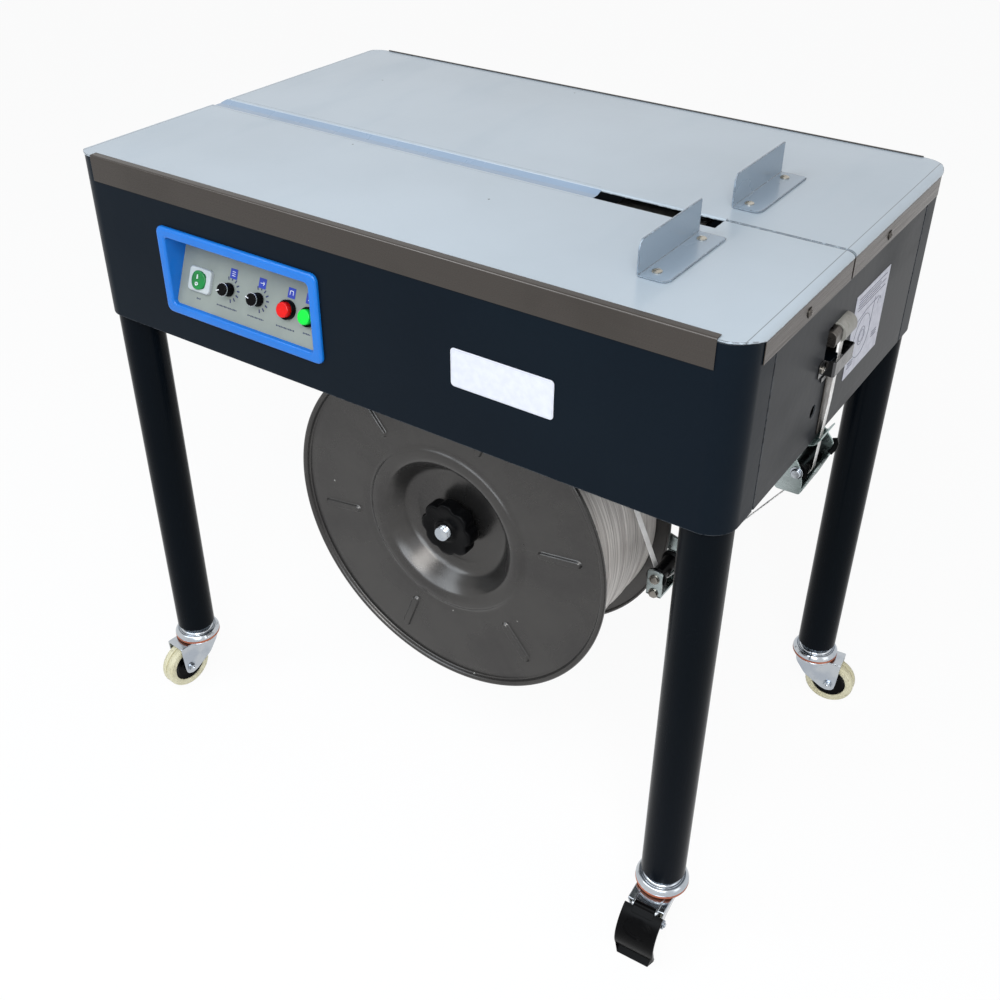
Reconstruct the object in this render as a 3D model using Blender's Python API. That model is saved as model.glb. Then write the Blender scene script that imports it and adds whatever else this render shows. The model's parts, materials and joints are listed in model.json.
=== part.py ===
"""A semi-automatic strapping machine: a table on four casters with the strap reel hung below it.

Metres, +Z up, +X towards the end with the strap guide, -Y towards the operator.
The pieces are modelled about the middle of the cabinet; at the end the whole machine is
shifted so that the world origin is the bottom centre of its bounding box.
"""

import math

import bmesh
import bpy
from mathutils import Matrix, Vector

# Clearances
GAP = 0.0003  # between pieces that touch
RUNNING = 0.0004  # round a shaft that turns
SEAM = 0.0008  # between neighbouring panels

# Table and cabinet
LENGTH = 0.900
WIDTH = 0.583
TABLE_HEIGHT = 0.868
CABINET_BOTTOM = 0.653
SHEET = 0.002
TRIM_SHEET = 0.0012
TRIM_HEIGHT = 0.031
TRIM_FLANGE = 0.010
BULLNOSE_RUN = 0.020  # length of the rounded drop at each end of the table
BULLNOSE_DROP = 0.0065
CORNER_R = 0.0325
LIP = 0.017  # inward fold at the bottom of a panel
SIDE_SEAM_Y = 0.2220  # where the side panels meet the wrapped corners

# Split between the two table plates
WINDOW_X = (0.147, 0.303)
WINDOW_Y = (-0.0587, -0.0310)
SPLIT_GAP = 0.0030
CHANNEL_DROP = 0.0045

# Legs and casters
LEG_R = 0.028
LEG_WALL = 0.002
LEG_CLEARANCE = 0.0025  # from the leg to the inside of the panels
WHEEL_R = 0.0375
WHEEL_WIDTH = 0.024
TRAIL = 0.032
AXLE_R = 0.004
FORK_SHEET = 0.0025
CHEEK_CLEARANCE = 0.0025
PEDAL_WIDTH = 0.053
PEDAL_PIVOT_X = 0.0490
PEDAL_PIVOT_RISE = 0.0030  # above the tyre
HEAD_R = 0.0335
HEAD_HEIGHT = 0.030  # from the top of the tyre to the foot of the leg
SEAL_DROP = 0.0218  # from the foot of the leg to the bottom of the seal ring

# Package stops
STOP_X = 0.291
STOP_BASE = 0.036
STOP_HEIGHT = 0.038
STOP_SHEET = 0.002
STOP_LENGTH = 0.135
STOP_FRONT_Y = -0.216
STOP_REAR_Y = 0.002
STOP_CHAMFER = 0.014

# Control panel, in the plane of its tilted plate
CONTROL_X = (-0.301, -0.0737)
CONTROL_Z = (0.705, 0.792)
BEZEL_BORDER = 0.013
BEZEL_PROUD = 0.005
BEZEL_WALL = 0.0025
PLATE_TILT = math.radians(22.0)
PLATE_RECESS = 0.0025  # from the table's front to the foot of the plate
PLATE_SHEET = 0.002
CONTROL_ROW = 0.036  # height of the switches up the plate
ROCKER_X = -0.266
KNOB_X = (-0.219, -0.1715)
BUTTON_X = (-0.1245, -0.0915)
ROCKER_R = 0.0118
KNOB_R = 0.0085
BUTTON_R = 0.0092
BOX_DEPTH = 0.085

# Reel
REEL_X = 0.0625
REEL_Z = 0.468
REEL_R = 0.2317
REEL_FRONT_Y = -0.235
REEL_REAR_Y = -0.067
CORE_R = 0.103
COIL_R = 0.212
DISH_R = 0.099
DISH_FLOOR_R = 0.085
DISH_DEPTH = 0.035
REEL_SHEET = 0.0015
SHAFT_R = 0.0112
STUD_R = 0.008
STUD_END_Y = -0.240
REEL_KNOB_R = 0.037
REEL_KNOB_LOBES = 8

# Strap and its rollers
STRAP_WIDTH = 0.009
STRAP_THICK = 0.0008
STRAP_Y = -0.0465
ENTRY_Y = (-0.0740, -0.0190)  # the slot in the right side panel where the strap goes in
ENTRY_DROP = 0.072  # from the table top to the top of that slot
ENTRY_HEIGHT = 0.056
ARM_PIVOT = (0.150, 0.480)
ARM_ROLLER = (0.3155, 0.453)
ARM_ROLLER_Y = (-0.147, -0.103)
ARM_BAR_Y = (-0.0605, -0.0555)
ROLLER_R = 0.010
ROLLER_DISC_R = 0.0135
SIDE_ROLLER_INSET = 0.0088
SIDE_ROLLER_DROP = 0.041  # below the cabinet
SIDE_ROLLER_Y = (-0.0690, -0.0240)
SIDE_ROLLER_R = 0.0115

# Inside
BEAM_Y = (-0.031, 0.135)
BEAM_SIZE = (0.030, 0.030)
DECK_DROP = 0.126  # from the table top to the top of the beams
DECK_SHEET = 0.005
DECK_X = (-0.100, 0.345)
HEAD_X = (0.130, 0.325)
HEAD_DROP = 0.016
HEAD_PLATE = 0.0085
CAM_X = 0.225
CAM_DROP = 0.071
FEED_X = 0.306
FEED_DROP = 0.068
MOTOR_X = 0.020
MOTOR_R = 0.045
PULLEY_Y = (0.004, 0.026)
MOTOR_PULLEY_R = 0.018
CAM_PULLEY_R = 0.045

# Worked out from the sizes above
HALF_X = LENGTH / 2 - TRIM_SHEET - GAP
HALF_Y = WIDTH / 2 - TRIM_SHEET - GAP
PLATE_FRONT_Y = -WIDTH / 2 + PLATE_RECESS
LEG_INSET = LEG_R + SHEET + LEG_CLEARANCE
LEG_X = HALF_X - LEG_INSET
LEG_Y = HALF_Y - LEG_INSET
CASTER_HEIGHT = 2 * WHEEL_R + HEAD_HEIGHT
PEDAL_PIVOT = (PEDAL_PIVOT_X, 2 * WHEEL_R + PEDAL_PIVOT_RISE)
SIDE_ROLLER = (HALF_X - SIDE_ROLLER_INSET, CABINET_BOTTOM - SIDE_ROLLER_DROP)
ENTRY_TOP = TABLE_HEIGHT - ENTRY_DROP
DECK_Z = TABLE_HEIGHT - DECK_DROP
HEAD_TOP = TABLE_HEIGHT - HEAD_DROP
CAM_Z = TABLE_HEIGHT - CAM_DROP
FEED_Z = TABLE_HEIGHT - FEED_DROP
PANEL_TOP = TABLE_HEIGHT - BULLNOSE_DROP - SHEET / 2  # clear of the rolled edge of the table plates
PLATE_END_X = LENGTH / 2


# --- shapes ---------------------------------------------------------------------------------


def arc(centre, radius, start, end, steps):
    """Points along an arc, angles in degrees."""
    turn = [math.radians(start + (end - start) * k / steps) for k in range(steps + 1)]
    return [(centre[0] + radius * math.cos(a), centre[1] + radius * math.sin(a)) for a in turn]


def circle(centre, radius, steps):
    return arc(centre, radius, 0, 360, steps)[:-1]


def rectangle(low, high):
    return [(low[0], low[1]), (high[0], low[1]), (high[0], high[1]), (low[0], high[1])]


def rounded(low, high, radius, steps=4):
    corners = (
        ((high[0] - radius, low[1] + radius), -90),
        ((high[0] - radius, high[1] - radius), 0),
        ((low[0] + radius, high[1] - radius), 90),
        ((low[0] + radius, low[1] + radius), 180),
    )
    return [point for centre, start in corners for point in arc(centre, radius, start, start + 90, steps)]


def ribbon(path, thickness):
    """The outline of a bent sheet: the path, and the path offset to its left by the thickness."""
    offset = []
    for k, point in enumerate(path):
        here = Vector(point)
        before = (here - Vector(path[k - 1])).normalized() if k else None
        after = (Vector(path[k + 1]) - here).normalized() if k + 1 < len(path) else None
        before, after = before or after, after or before
        along = (before + after).normalized()
        left = Vector((-along.y, along.x))
        offset.append(tuple(here + left * thickness / max(left.dot(Vector((-before.y, before.x))), 0.3)))
    return list(path) + offset[::-1]


def place(axis, a, b, h):
    """A point of an outline carried along an axis: (y, z) for X, (x, z) for Y and (x, y) for Z."""
    return {"X": (h, a, b), "Y": (a, h, b), "Z": (a, b, h)}[axis]


def closed(shape):
    bmesh.ops.recalc_face_normals(shape, faces=shape.faces)
    return shape


def prism(outline, low, high, axis):
    shape = bmesh.new()
    ends = [[shape.verts.new(place(axis, a, b, h)) for a, b in outline] for h in (low, high)]
    for k in range(len(outline)):
        after = (k + 1) % len(outline)
        shape.faces.new((ends[0][k], ends[0][after], ends[1][after], ends[1][k]))
    for end in ends:
        shape.faces.new(end)
    return closed(shape)


def block(low, high):
    return prism(rectangle(low[:2], high[:2]), low[2], high[2], "Z")


def loop_prism(outer, inner, low, high, axis):
    """A closed band between two outlines with as many points each."""
    shape = bmesh.new()
    rings = [
        [shape.verts.new(place(axis, a, b, h)) for a, b in outline]
        for outline, h in ((outer, low), (outer, high), (inner, high), (inner, low))
    ]
    for ring, following in zip(rings, rings[1:] + rings[:1]):
        for k in range(len(outer)):
            after = (k + 1) % len(outer)
            shape.faces.new((ring[k], ring[after], following[after], following[k]))
    return closed(shape)


def turned(profile, centre, axis, steps=32, lobes=0, lobe_depth=0.0):
    """A closed profile of (radius, height) turned about an axis through the centre.

    With lobes, each radius swells and shrinks round the turn by lobe_depth times its share of
    the largest radius, cubed, so that the middle stays round.
    """
    largest = max(radius for radius, _ in profile)
    shape = bmesh.new()
    rings = []
    for radius, height in profile:
        if radius == 0:
            rings.append([shape.verts.new(place(axis, centre[0], centre[1], height))])
            continue
        ring = []
        for k in range(steps):
            angle = 2 * math.pi * k / steps
            wave = lobe_depth * (radius / largest) ** 3 * math.cos(lobes * angle)
            a = centre[0] + (radius + wave) * math.cos(angle)
            b = centre[1] + (radius + wave) * math.sin(angle)
            ring.append(shape.verts.new(place(axis, a, b, height)))
        rings.append(ring)
    for ring, following in zip(rings, rings[1:] + rings[:1]):
        if len(ring) == 1 and len(following) == 1:
            continue
        for k in range(steps):
            after = (k + 1) % steps
            corners = [ring[k % len(ring)], ring[after % len(ring)]]
            corners += [following[after % len(following)], following[k % len(following)]]
            shape.faces.new(list(dict.fromkeys(corners)))
    return closed(shape)


def moved(shape, matrix):
    shape.transform(matrix)
    return shape


def temporary(shape):
    mesh = bpy.data.meshes.new("temporary")
    shape.to_mesh(mesh)
    shape.free()
    helper = bpy.data.objects.new("temporary", mesh)
    bpy.context.scene.collection.objects.link(helper)
    return helper


def combined(base, add=(), cut=()):
    """The base shape with others joined to it, then others cut from it, by exact Booleans."""
    body = temporary(base)
    helpers = [body]
    for operation, shapes in (("UNION", add), ("DIFFERENCE", cut)):
        for shape in shapes:
            helpers.append(temporary(shape))
            modifier = body.modifiers.new(operation.lower(), "BOOLEAN")
            modifier.operation = operation
            modifier.object = helpers[-1]
    bpy.context.view_layer.update()
    graph = bpy.context.evaluated_depsgraph_get()
    result = bmesh.new()
    result.from_mesh(bpy.data.meshes.new_from_object(body.evaluated_get(graph)))
    bmesh.ops.remove_doubles(result, verts=result.verts, dist=1e-6)
    for helper in helpers:
        bpy.data.meshes.remove(helper.data)
    return result


# --- objects --------------------------------------------------------------------------------


def material(name, colour, roughness, metallic=0.0):
    finish = bpy.data.materials.new(name)
    finish.use_nodes = True
    shader = finish.node_tree.nodes["Principled BSDF"]
    shader.inputs["Base Color"].default_value = (*colour, 1)
    shader.inputs["Roughness"].default_value = roughness
    shader.inputs["Metallic"].default_value = metallic
    finish.diffuse_color = (*colour, 1)
    return finish


def mesh_of(name, shape, finish):
    mesh = bpy.data.meshes.new(name)
    shape.to_mesh(mesh)
    shape.free()
    mesh.materials.append(finish)
    mesh.shade_smooth()
    mesh.set_sharp_from_angle(angle=math.radians(35))
    return mesh


def instance(name, mesh, pivot=(0, 0, 0), turn=0.0):
    piece = bpy.data.objects.new(name, mesh)
    bpy.context.scene.collection.objects.link(piece)
    piece.parent = machine
    piece.location = pivot
    piece.rotation_euler.z = turn
    return piece


def piece(name, shape, finish, pivot=(0, 0, 0)):
    """One named solid. A moving one has its origin at its pivot, on its joint's axis."""
    moved(shape, Matrix.Translation(-Vector(pivot)))
    return instance(name, mesh_of(name, shape, finish), pivot)


# --- table and cabinet ----------------------------------------------------------------------


def bullnose(x):
    """How far the table's top surface lies below its middle, at a distance x from it."""
    share = max(0.0, (abs(x) - (PLATE_END_X - BULLNOSE_RUN)) / BULLNOSE_RUN)
    return BULLNOSE_DROP * (1 - math.sqrt(max(0.0, 1 - share**2)))


def table_plate(outline):
    """A flat outline as a sheet whose two ends are rounded over."""
    shape = bmesh.new()
    shape.faces.new([shape.verts.new((x, y, 0)) for x, y in outline])
    for sign in (-1, 1):
        for degrees in (0, 20, 40, 60, 75):
            x = PLATE_END_X - BULLNOSE_RUN + BULLNOSE_RUN * math.sin(math.radians(degrees))
            bmesh.ops.bisect_plane(
                shape, geom=shape.verts[:] + shape.edges[:] + shape.faces[:],
                plane_co=(sign * x, 0, 0), plane_no=(1, 0, 0),
            )
    bmesh.ops.recalc_face_normals(shape, faces=shape.faces)
    if sum(face.normal.z for face in shape.faces) < 0:
        bmesh.ops.reverse_faces(shape, faces=shape.faces)
    for vertex in shape.verts:
        vertex.co.z = TABLE_HEIGHT - bullnose(vertex.co.x)
    sheet = temporary(shape)
    thickness = sheet.modifiers.new("thickness", "SOLIDIFY")
    thickness.thickness = SHEET
    thickness.offset = -1
    thickness.use_even_offset = False
    bpy.context.view_layer.update()
    graph = bpy.context.evaluated_depsgraph_get()
    result = bmesh.new()
    result.from_mesh(bpy.data.meshes.new_from_object(sheet.evaluated_get(graph)))
    bpy.data.meshes.remove(sheet.data)
    return result


def make_table():
    edge_y = HALF_Y
    corner = CORNER_R
    centre_x = PLATE_END_X - corner
    right = arc((centre_x, -edge_y + corner), corner, -90, 0, 8)
    left = arc((-centre_x, -edge_y + corner), corner, -180, -90, 8)
    split = WINDOW_Y[1] - SPLIT_GAP
    front = left + right + [
        (PLATE_END_X, split),
        (WINDOW_X[1], split),
        (WINDOW_X[1], WINDOW_Y[0]),
        (-PLATE_END_X, WINDOW_Y[0]),
    ]
    channel_top = TABLE_HEIGHT - CHANNEL_DROP
    channel = block(
        (-PLATE_END_X, WINDOW_Y[0] - SHEET, channel_top - SHEET),
        (WINDOW_X[0], WINDOW_Y[1] - GAP, channel_top),
    )
    riser = block(
        (-PLATE_END_X + BULLNOSE_RUN, WINDOW_Y[0] - SHEET, channel_top - SHEET),
        (WINDOW_X[0], WINDOW_Y[0], TABLE_HEIGHT - SHEET / 2),
    )
    piece("table_plate_front", combined(table_plate(front), add=(channel, riser)), PALE_PAINT)
    rear_left = arc((-centre_x, edge_y - corner), corner, 180, 90, 8)
    rear_right = arc((centre_x, edge_y - corner), corner, 90, 0, 8)
    rear = rear_left + rear_right + [(PLATE_END_X, WINDOW_Y[1]), (-PLATE_END_X, WINDOW_Y[1])]
    lip = block(
        (-PLATE_END_X + BULLNOSE_RUN, WINDOW_Y[1], channel_top - SHEET),
        (WINDOW_X[1], WINDOW_Y[1] + SHEET, TABLE_HEIGHT - SHEET / 2),
    )
    piece("table_plate_rear", combined(table_plate(rear), add=(lip,)), PALE_PAINT)


def wrapped_panel(sign):
    """A long panel whose two ends wrap round the corners of the cabinet; sign is its side in Y."""
    path = [(-HALF_X, -SIDE_SEAM_Y - SEAM)]
    corner_x, corner_y = HALF_X - CORNER_R, HALF_Y - CORNER_R
    path += arc((-corner_x, -corner_y), CORNER_R, 180, 270, 8)
    path += arc((corner_x, -corner_y), CORNER_R, 270, 360, 8)
    path += [(HALF_X, -SIDE_SEAM_Y - SEAM)]
    shell = prism(ribbon(path, SHEET), CABINET_BOTTOM, PANEL_TOP, "Z")
    lip_end = LEG_X - LEG_R - 0.004
    lip = block(
        (-lip_end, -HALF_Y + SHEET / 2, CABINET_BOTTOM),
        (lip_end, -HALF_Y + LIP, CABINET_BOTTOM + SHEET),
    )
    shape = combined(shell, add=(lip,))
    if sign > 0:
        moved(shape, Matrix.Scale(-1, 4, (0, 1, 0)))
        bmesh.ops.reverse_faces(shape, faces=shape.faces)
    return shape


def make_cabinet():
    hole_margin = BEZEL_WALL + 2 * GAP
    opening = block(
        (CONTROL_X[0] - hole_margin, -HALF_Y - SHEET, CONTROL_Z[0] - hole_margin),
        (CONTROL_X[1] + hole_margin, -HALF_Y + 2 * SHEET, CONTROL_Z[1] + hole_margin),
    )
    piece("front_panel", combined(wrapped_panel(-1), cut=(opening,)), DARK_PAINT)
    piece("rear_panel", wrapped_panel(1), DARK_PAINT)
    for name, side in (("side_panel_left", -1), ("side_panel_right", 1)):
        outside, inside, fold = side * HALF_X, side * (HALF_X - SHEET), side * (HALF_X - LIP)
        outline = [
            (outside, PANEL_TOP), (outside, CABINET_BOTTOM), (fold, CABINET_BOTTOM),
            (fold, CABINET_BOTTOM + SHEET), (inside, CABINET_BOTTOM + SHEET), (inside, PANEL_TOP),
        ]
        panel = prism(outline, -SIDE_SEAM_Y, SIDE_SEAM_Y, "Y")
        if side > 0:
            slot = block((inside - SHEET, ENTRY_Y[0], ENTRY_TOP - ENTRY_HEIGHT), (outside + SHEET, ENTRY_Y[1], ENTRY_TOP))
            hole = prism(circle((-0.081, 0.700), 0.008, 20), inside - SHEET, outside + SHEET, "X")
            panel = combined(panel, cut=(slot, hole))
        piece(name, panel, DARK_PAINT)


def make_trims():
    low = TABLE_HEIGHT - TRIM_HEIGHT
    top = TABLE_HEIGHT + GAP
    for name, side in (("trim_front", -1), ("trim_rear", 1)):
        wall, outer, flange = side * (HALF_Y + GAP), side * WIDTH / 2, side * (WIDTH / 2 - TRIM_FLANGE)
        outline = [
            (wall, low), (outer, low), (outer, top + TRIM_SHEET),
            (flange, top + TRIM_SHEET), (flange, top), (wall, top),
        ]
        piece(name, prism(outline, -LEG_X, LEG_X, "X"), STAINLESS)
    spans = {"trim_right_front": (-LEG_Y, WINDOW_Y[1] - SPLIT_GAP), "trim_right_rear": (WINDOW_Y[1], LEG_Y)}
    for name, (start, end) in spans.items():
        strip = block((HALF_X + GAP, start, low), (LENGTH / 2, end, PANEL_TOP))
        piece(name, strip, STAINLESS)


def make_stops():
    base = TABLE_HEIGHT + GAP
    for name, start in (("package_stop_front", STOP_FRONT_Y), ("package_stop_rear", STOP_REAR_Y)):
        end = start + STOP_LENGTH
        flat = prism(
            [
                (STOP_X, start), (STOP_X + STOP_BASE - STOP_CHAMFER / 2, start),
                (STOP_X + STOP_BASE, start + STOP_CHAMFER / 2), (STOP_X + STOP_BASE, end - STOP_CHAMFER / 2),
                (STOP_X + STOP_BASE - STOP_CHAMFER / 2, end), (STOP_X, end),
            ],
            base, base + STOP_SHEET, "Z",
        )
        top = base + STOP_HEIGHT
        upright = prism(
            [
                (start, base), (end, base), (end, top - STOP_CHAMFER),
                *arc((end - STOP_CHAMFER, top - STOP_CHAMFER), STOP_CHAMFER, 0, 90, 4)[1:],
                *arc((start + STOP_CHAMFER, top - STOP_CHAMFER), STOP_CHAMFER, 90, 180, 4),
            ],
            STOP_X, STOP_X + STOP_SHEET, "X",
        )
        screws = [
            turned(
                [(0, base), (0.0045, base), (0.0045, base + STOP_SHEET + 0.0018), (0, base + STOP_SHEET + 0.0026)],
                (STOP_X + 0.4 * STOP_BASE, y), "Z", 16,
            )
            for y in (start + 0.018, end - 0.018)
        ]
        piece(name, combined(flat, add=(upright, *screws)), PALE_PAINT)


# --- legs and casters -----------------------------------------------------------------------


def make_legs():
    bottom = CASTER_HEIGHT + GAP
    top = PANEL_TOP - SHEET - GAP
    bore = LEG_R - LEG_WALL
    flange = LEG_INSET - SHEET - GAP
    plate = 0.004
    profile = [
        (bore, bottom), (LEG_R, bottom), (LEG_R, top - plate), (flange, top - plate),
        (flange, top), (0, top), (0, top - plate), (bore, top - plate),
    ]
    mesh = mesh_of("leg", turned(profile, (0, 0), "Z", 24), DARK_PAINT)
    for name, (x, y, _) in CORNERS.items():
        instance("leg_" + name, mesh, (x, y, 0))


def caster_head():
    """Stem plug, collar, domed head and the seal ring under it."""
    collar_top = CASTER_HEIGHT
    seal_low = collar_top - SEAL_DROP
    seal_top, dome_top = seal_low + 0.0036, seal_low + 0.0153
    plug_r = LEG_R - LEG_WALL - GAP
    profile = [
        (0, seal_low), (HEAD_R + 0.001, seal_low), (HEAD_R + 0.001, seal_top), (HEAD_R, seal_top + 0.001),
        (HEAD_R - 0.003, dome_top - 0.006), (0.024, dome_top - 0.001), (0.019, dome_top),
        (0.019, collar_top), (plug_r, collar_top + 2 * GAP), (plug_r, collar_top + 0.022), (0, collar_top + 0.022),
    ]
    return turned(profile, (0, 0), "Z", 20)


def caster_fork():
    """Crown, two cheeks and the wheel's axle, with the wheel trailing towards +X."""
    crown_low, crown_top = 2 * WHEEL_R + 0.0022, CASTER_HEIGHT - SEAL_DROP - GAP
    crown = turned([(0, crown_low), (0.031, crown_low), (0.031, crown_top), (0, crown_top)], (0, 0), "Z", 20)
    inner = WHEEL_WIDTH / 2 + CHEEK_CLEARANCE
    outline = [
        (-0.020, crown_low + 0.002), (-0.014, crown_low - 0.0152), (TRAIL - 0.013, WHEEL_R - 0.004),
        *arc((TRAIL, WHEEL_R), 0.011, -150, 10, 6), (0.024, crown_low + 0.002),
    ]
    cheeks = [
        prism(outline, side * inner, side * (inner + FORK_SHEET), "Y")
        for side in (-1, 1)
    ]
    reach = inner + FORK_SHEET + 0.004
    axle = turned([(0, -reach), (AXLE_R, -reach), (AXLE_R, reach), (0, reach)], (TRAIL, WHEEL_R), "Y", 10)
    heads = [
        turned([(0, low), (0.0065, low), (0.0065, low + 0.004), (0, low + 0.004)], (TRAIL, WHEEL_R), "Y", 6)
        for low in (-reach - 0.001, reach - 0.003)
    ]
    x, z = PEDAL_PIVOT
    ear = [(0.020, crown_low + 0.001), *arc((x, z), 0.0046, -90, 90, 6), (0.020, crown_top)]
    ears = [prism(ear, side * inner, side * (inner + FORK_SHEET), "Y") for side in (-1, 1)]
    return combined(crown, add=(*cheeks, axle, *heads, *ears))


def caster_wheel():
    half = WHEEL_WIDTH / 2
    groove = 0.0015
    bore = AXLE_R + RUNNING
    hub = half + 0.0018
    profile = [
        (bore, -hub), (0.009, -hub), (0.011, -half + 0.003), (0.025, -half + 0.003),
        (WHEEL_R - 0.004, -half), (WHEEL_R, -half + 0.005), (WHEEL_R, -groove), (WHEEL_R - 0.003, 0),
        (WHEEL_R, groove), (WHEEL_R, half - 0.005), (WHEEL_R - 0.004, half),
        (0.025, half - 0.003), (0.011, half - 0.003), (0.009, hub), (bore, hub),
    ]
    return turned(profile, (0, 0), "Y", 20)


def brake_pedal():
    """A curved tread in front of the wheel, hinged between two ears at the front of the fork."""
    inside = WHEEL_R + 0.0040
    outside = inside + 0.0045
    half = PEDAL_WIDTH / 2
    axle = (TRAIL, WHEEL_R)
    outline = arc(axle, inside, 50, -38, 10) + [(TRAIL + 0.044, 0.0045)] + arc(axle, outside, -30, 50, 10)
    tread = prism(outline, -half, half, "Y")
    inner = WHEEL_WIDTH / 2 + CHEEK_CLEARANCE - GAP
    knuckle = turned([(0, -inner), (0.0046, -inner), (0.0046, inner), (0, inner)], PEDAL_PIVOT, "Y", 16)
    x, z = PEDAL_PIVOT
    web = prism([(x, z + 0.0044), *arc(axle, outside, 52, 46, 2), *arc(axle, inside, 46, 52, 2), (x - 0.003, z - 0.0034)],
                -inner, inner, "Y")
    return combined(tread, add=(web, knuckle))


def make_casters():
    head = mesh_of("caster_head", caster_head(), ZINC)
    fork = mesh_of("caster_fork", caster_fork(), ZINC)
    wheel = mesh_of("caster_wheel", caster_wheel(), CREAM)
    pedal = mesh_of("brake_pedal", moved(brake_pedal(), Matrix.Translation((-PEDAL_PIVOT[0], 0, -PEDAL_PIVOT[1]))), BLACK)
    for name, (x, y, turn) in CORNERS.items():
        turn = math.radians(turn)
        ahead = Vector((math.cos(turn), math.sin(turn), 0))
        instance("caster_head_" + name, head, (x, y, 0))
        instance("caster_fork_" + name, fork, (x, y, 0), turn)
        instance("caster_wheel_" + name, wheel, Vector((x, y, WHEEL_R)) + TRAIL * ahead, turn)
        if name in BRAKED:
            instance("brake_pedal_" + name, pedal, Vector((x, y, PEDAL_PIVOT[1])) + PEDAL_PIVOT[0] * ahead, turn)


# --- controls -------------------------------------------------------------------------------


def on_plate(u, v, w):
    """A point u along the tilted plate, v up it and w out of its face."""
    sine, cosine = math.sin(PLATE_TILT), math.cos(PLATE_TILT)
    return Vector((u, PLATE_FRONT_Y + v * sine - w * cosine, CONTROL_Z[0] + v * cosine + w * sine))


def tilted(shape):
    """Stands a shape built flat (u, v, w) on the plate."""
    sine, cosine = math.sin(PLATE_TILT), math.cos(PLATE_TILT)
    matrix = Matrix(((1, 0, 0, 0), (0, sine, -cosine, PLATE_FRONT_Y), (0, cosine, sine, CONTROL_Z[0]), (0, 0, 0, 1)))
    return moved(shape, matrix)


def make_controls():
    outer_low = (CONTROL_X[0] - BEZEL_BORDER, CONTROL_Z[0] - BEZEL_BORDER)
    outer_high = (CONTROL_X[1] + BEZEL_BORDER, CONTROL_Z[1] + BEZEL_BORDER)
    face = -HALF_Y - GAP
    flange = prism(rounded(outer_low, outer_high, 0.009), face - BEZEL_PROUD, face, "Y")
    wall_low = (CONTROL_X[0] - BEZEL_WALL, CONTROL_Z[0] - BEZEL_WALL)
    wall_high = (CONTROL_X[1] + BEZEL_WALL, CONTROL_Z[1] + BEZEL_WALL)
    depth = (wall_high[1] - wall_low[1]) * math.tan(PLATE_TILT)
    back = PLATE_FRONT_Y + depth
    sleeve = prism(rectangle(wall_low, wall_high), face - BEZEL_PROUD / 2, back, "Y")
    window = prism(rounded((CONTROL_X[0], CONTROL_Z[0]), (CONTROL_X[1], CONTROL_Z[1]), 0.005), -0.4, -0.1, "Y")
    slope = (wall_high[1] - wall_low[1]) / math.cos(PLATE_TILT)
    behind = tilted(block((-0.4, -0.05, -0.10), (0.0, slope + 0.05, GAP)))
    keep_flange = block((-0.4, face, 0.6), (0.0, 0.0, 0.9))
    behind = combined(behind, cut=(combined(block((-0.41, -0.5, 0.5), (0.01, 0.1, 1.0)), cut=(keep_flange,)),))
    bezel = combined(flange, add=(sleeve,), cut=(window, behind))
    piece("control_bezel", bezel, BLUE)

    plate_low = (wall_low[0], -BEZEL_WALL + PLATE_SHEET * math.sin(PLATE_TILT))
    plate_high = (wall_high[0], slope - BEZEL_WALL)
    plate = prism(rectangle(plate_low, plate_high), -PLATE_SHEET, 0, "Z")
    row = CONTROL_ROW
    housing = prism(rounded((ROCKER_X - 0.018, row - 0.015), (ROCKER_X + 0.018, row + 0.015), 0.005), -0.001, 0.005, "Z")
    collars = [turned([(0, -0.001), (0.0118, -0.001), (0.0118, 0.007), (0, 0.007)], (x, row), "Z", 24) for x in BUTTON_X]
    through = [
        prism(circle((x, row), radius, 24), -0.02, 0.02, "Z")
        for x, radius in (
            (ROCKER_X, ROCKER_R + RUNNING), (BUTTON_X[0], BUTTON_R + RUNNING), (BUTTON_X[1], BUTTON_R + RUNNING),
            (KNOB_X[0], 0.003 + RUNNING), (KNOB_X[1], 0.003 + RUNNING),
        )
    ]
    piece("control_plate", tilted(combined(plate, add=(housing, *collars), cut=through)), GREY_PLATE)

    rocker = [(0, -0.0045), (0.006, -0.0045), (ROCKER_R, -0.0015), (ROCKER_R, 0.0015), (0.007, 0.0035), (0, 0.004)]
    lift = 0.0045
    rocker = [(radius, height + lift) for radius, height in rocker]
    piece("rocker_switch", tilted(turned(rocker, (ROCKER_X, row), "Z", 24)), GREEN, on_plate(ROCKER_X, row, lift))
    for name, x in zip(("knob_seal_time", "knob_strap_length"), KNOB_X):
        profile = [
            (0, -0.010), (0.003, -0.010), (0.003, 0.0008), (KNOB_R, 0.0008),
            (KNOB_R, 0.012), (KNOB_R - 0.0008, 0.015), (0, 0.0155),
        ]
        piece(name, tilted(turned(profile, (x, row), "Z", 24)), BLACK, on_plate(x, row, 0))
    for name, x, finish in zip(("button_stop", "button_feed"), BUTTON_X, (RED, GREEN)):
        profile = [(0, -0.004), (BUTTON_R, -0.004), (BUTTON_R, 0.0115), (BUTTON_R - 0.001, 0.0125), (0, 0.013)]
        piece(name, tilted(turned(profile, (x, row), "Z", 24)), finish, on_plate(x, row, 0))

    wall = 0.0015
    box_low = Vector((wall_low[0] + 0.001, PLATE_FRONT_Y + GAP, CONTROL_Z[0]))
    box_high = Vector((wall_high[0] - 0.001, PLATE_FRONT_Y + depth + BOX_DEPTH, CONTROL_Z[1]))
    inset = Vector((wall, wall, wall))
    hollow = block(Vector((box_low.x + wall, -0.4, box_low.z + wall)), box_high - inset)
    front = tilted(block((-0.4, -0.1, -PLATE_SHEET - GAP), (0.0, slope + 0.1, 0.2)))
    piece("control_box", combined(block(box_low, box_high), cut=(hollow, front)), GREY_PLATE)


# --- mechanism ------------------------------------------------------------------------------


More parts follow.
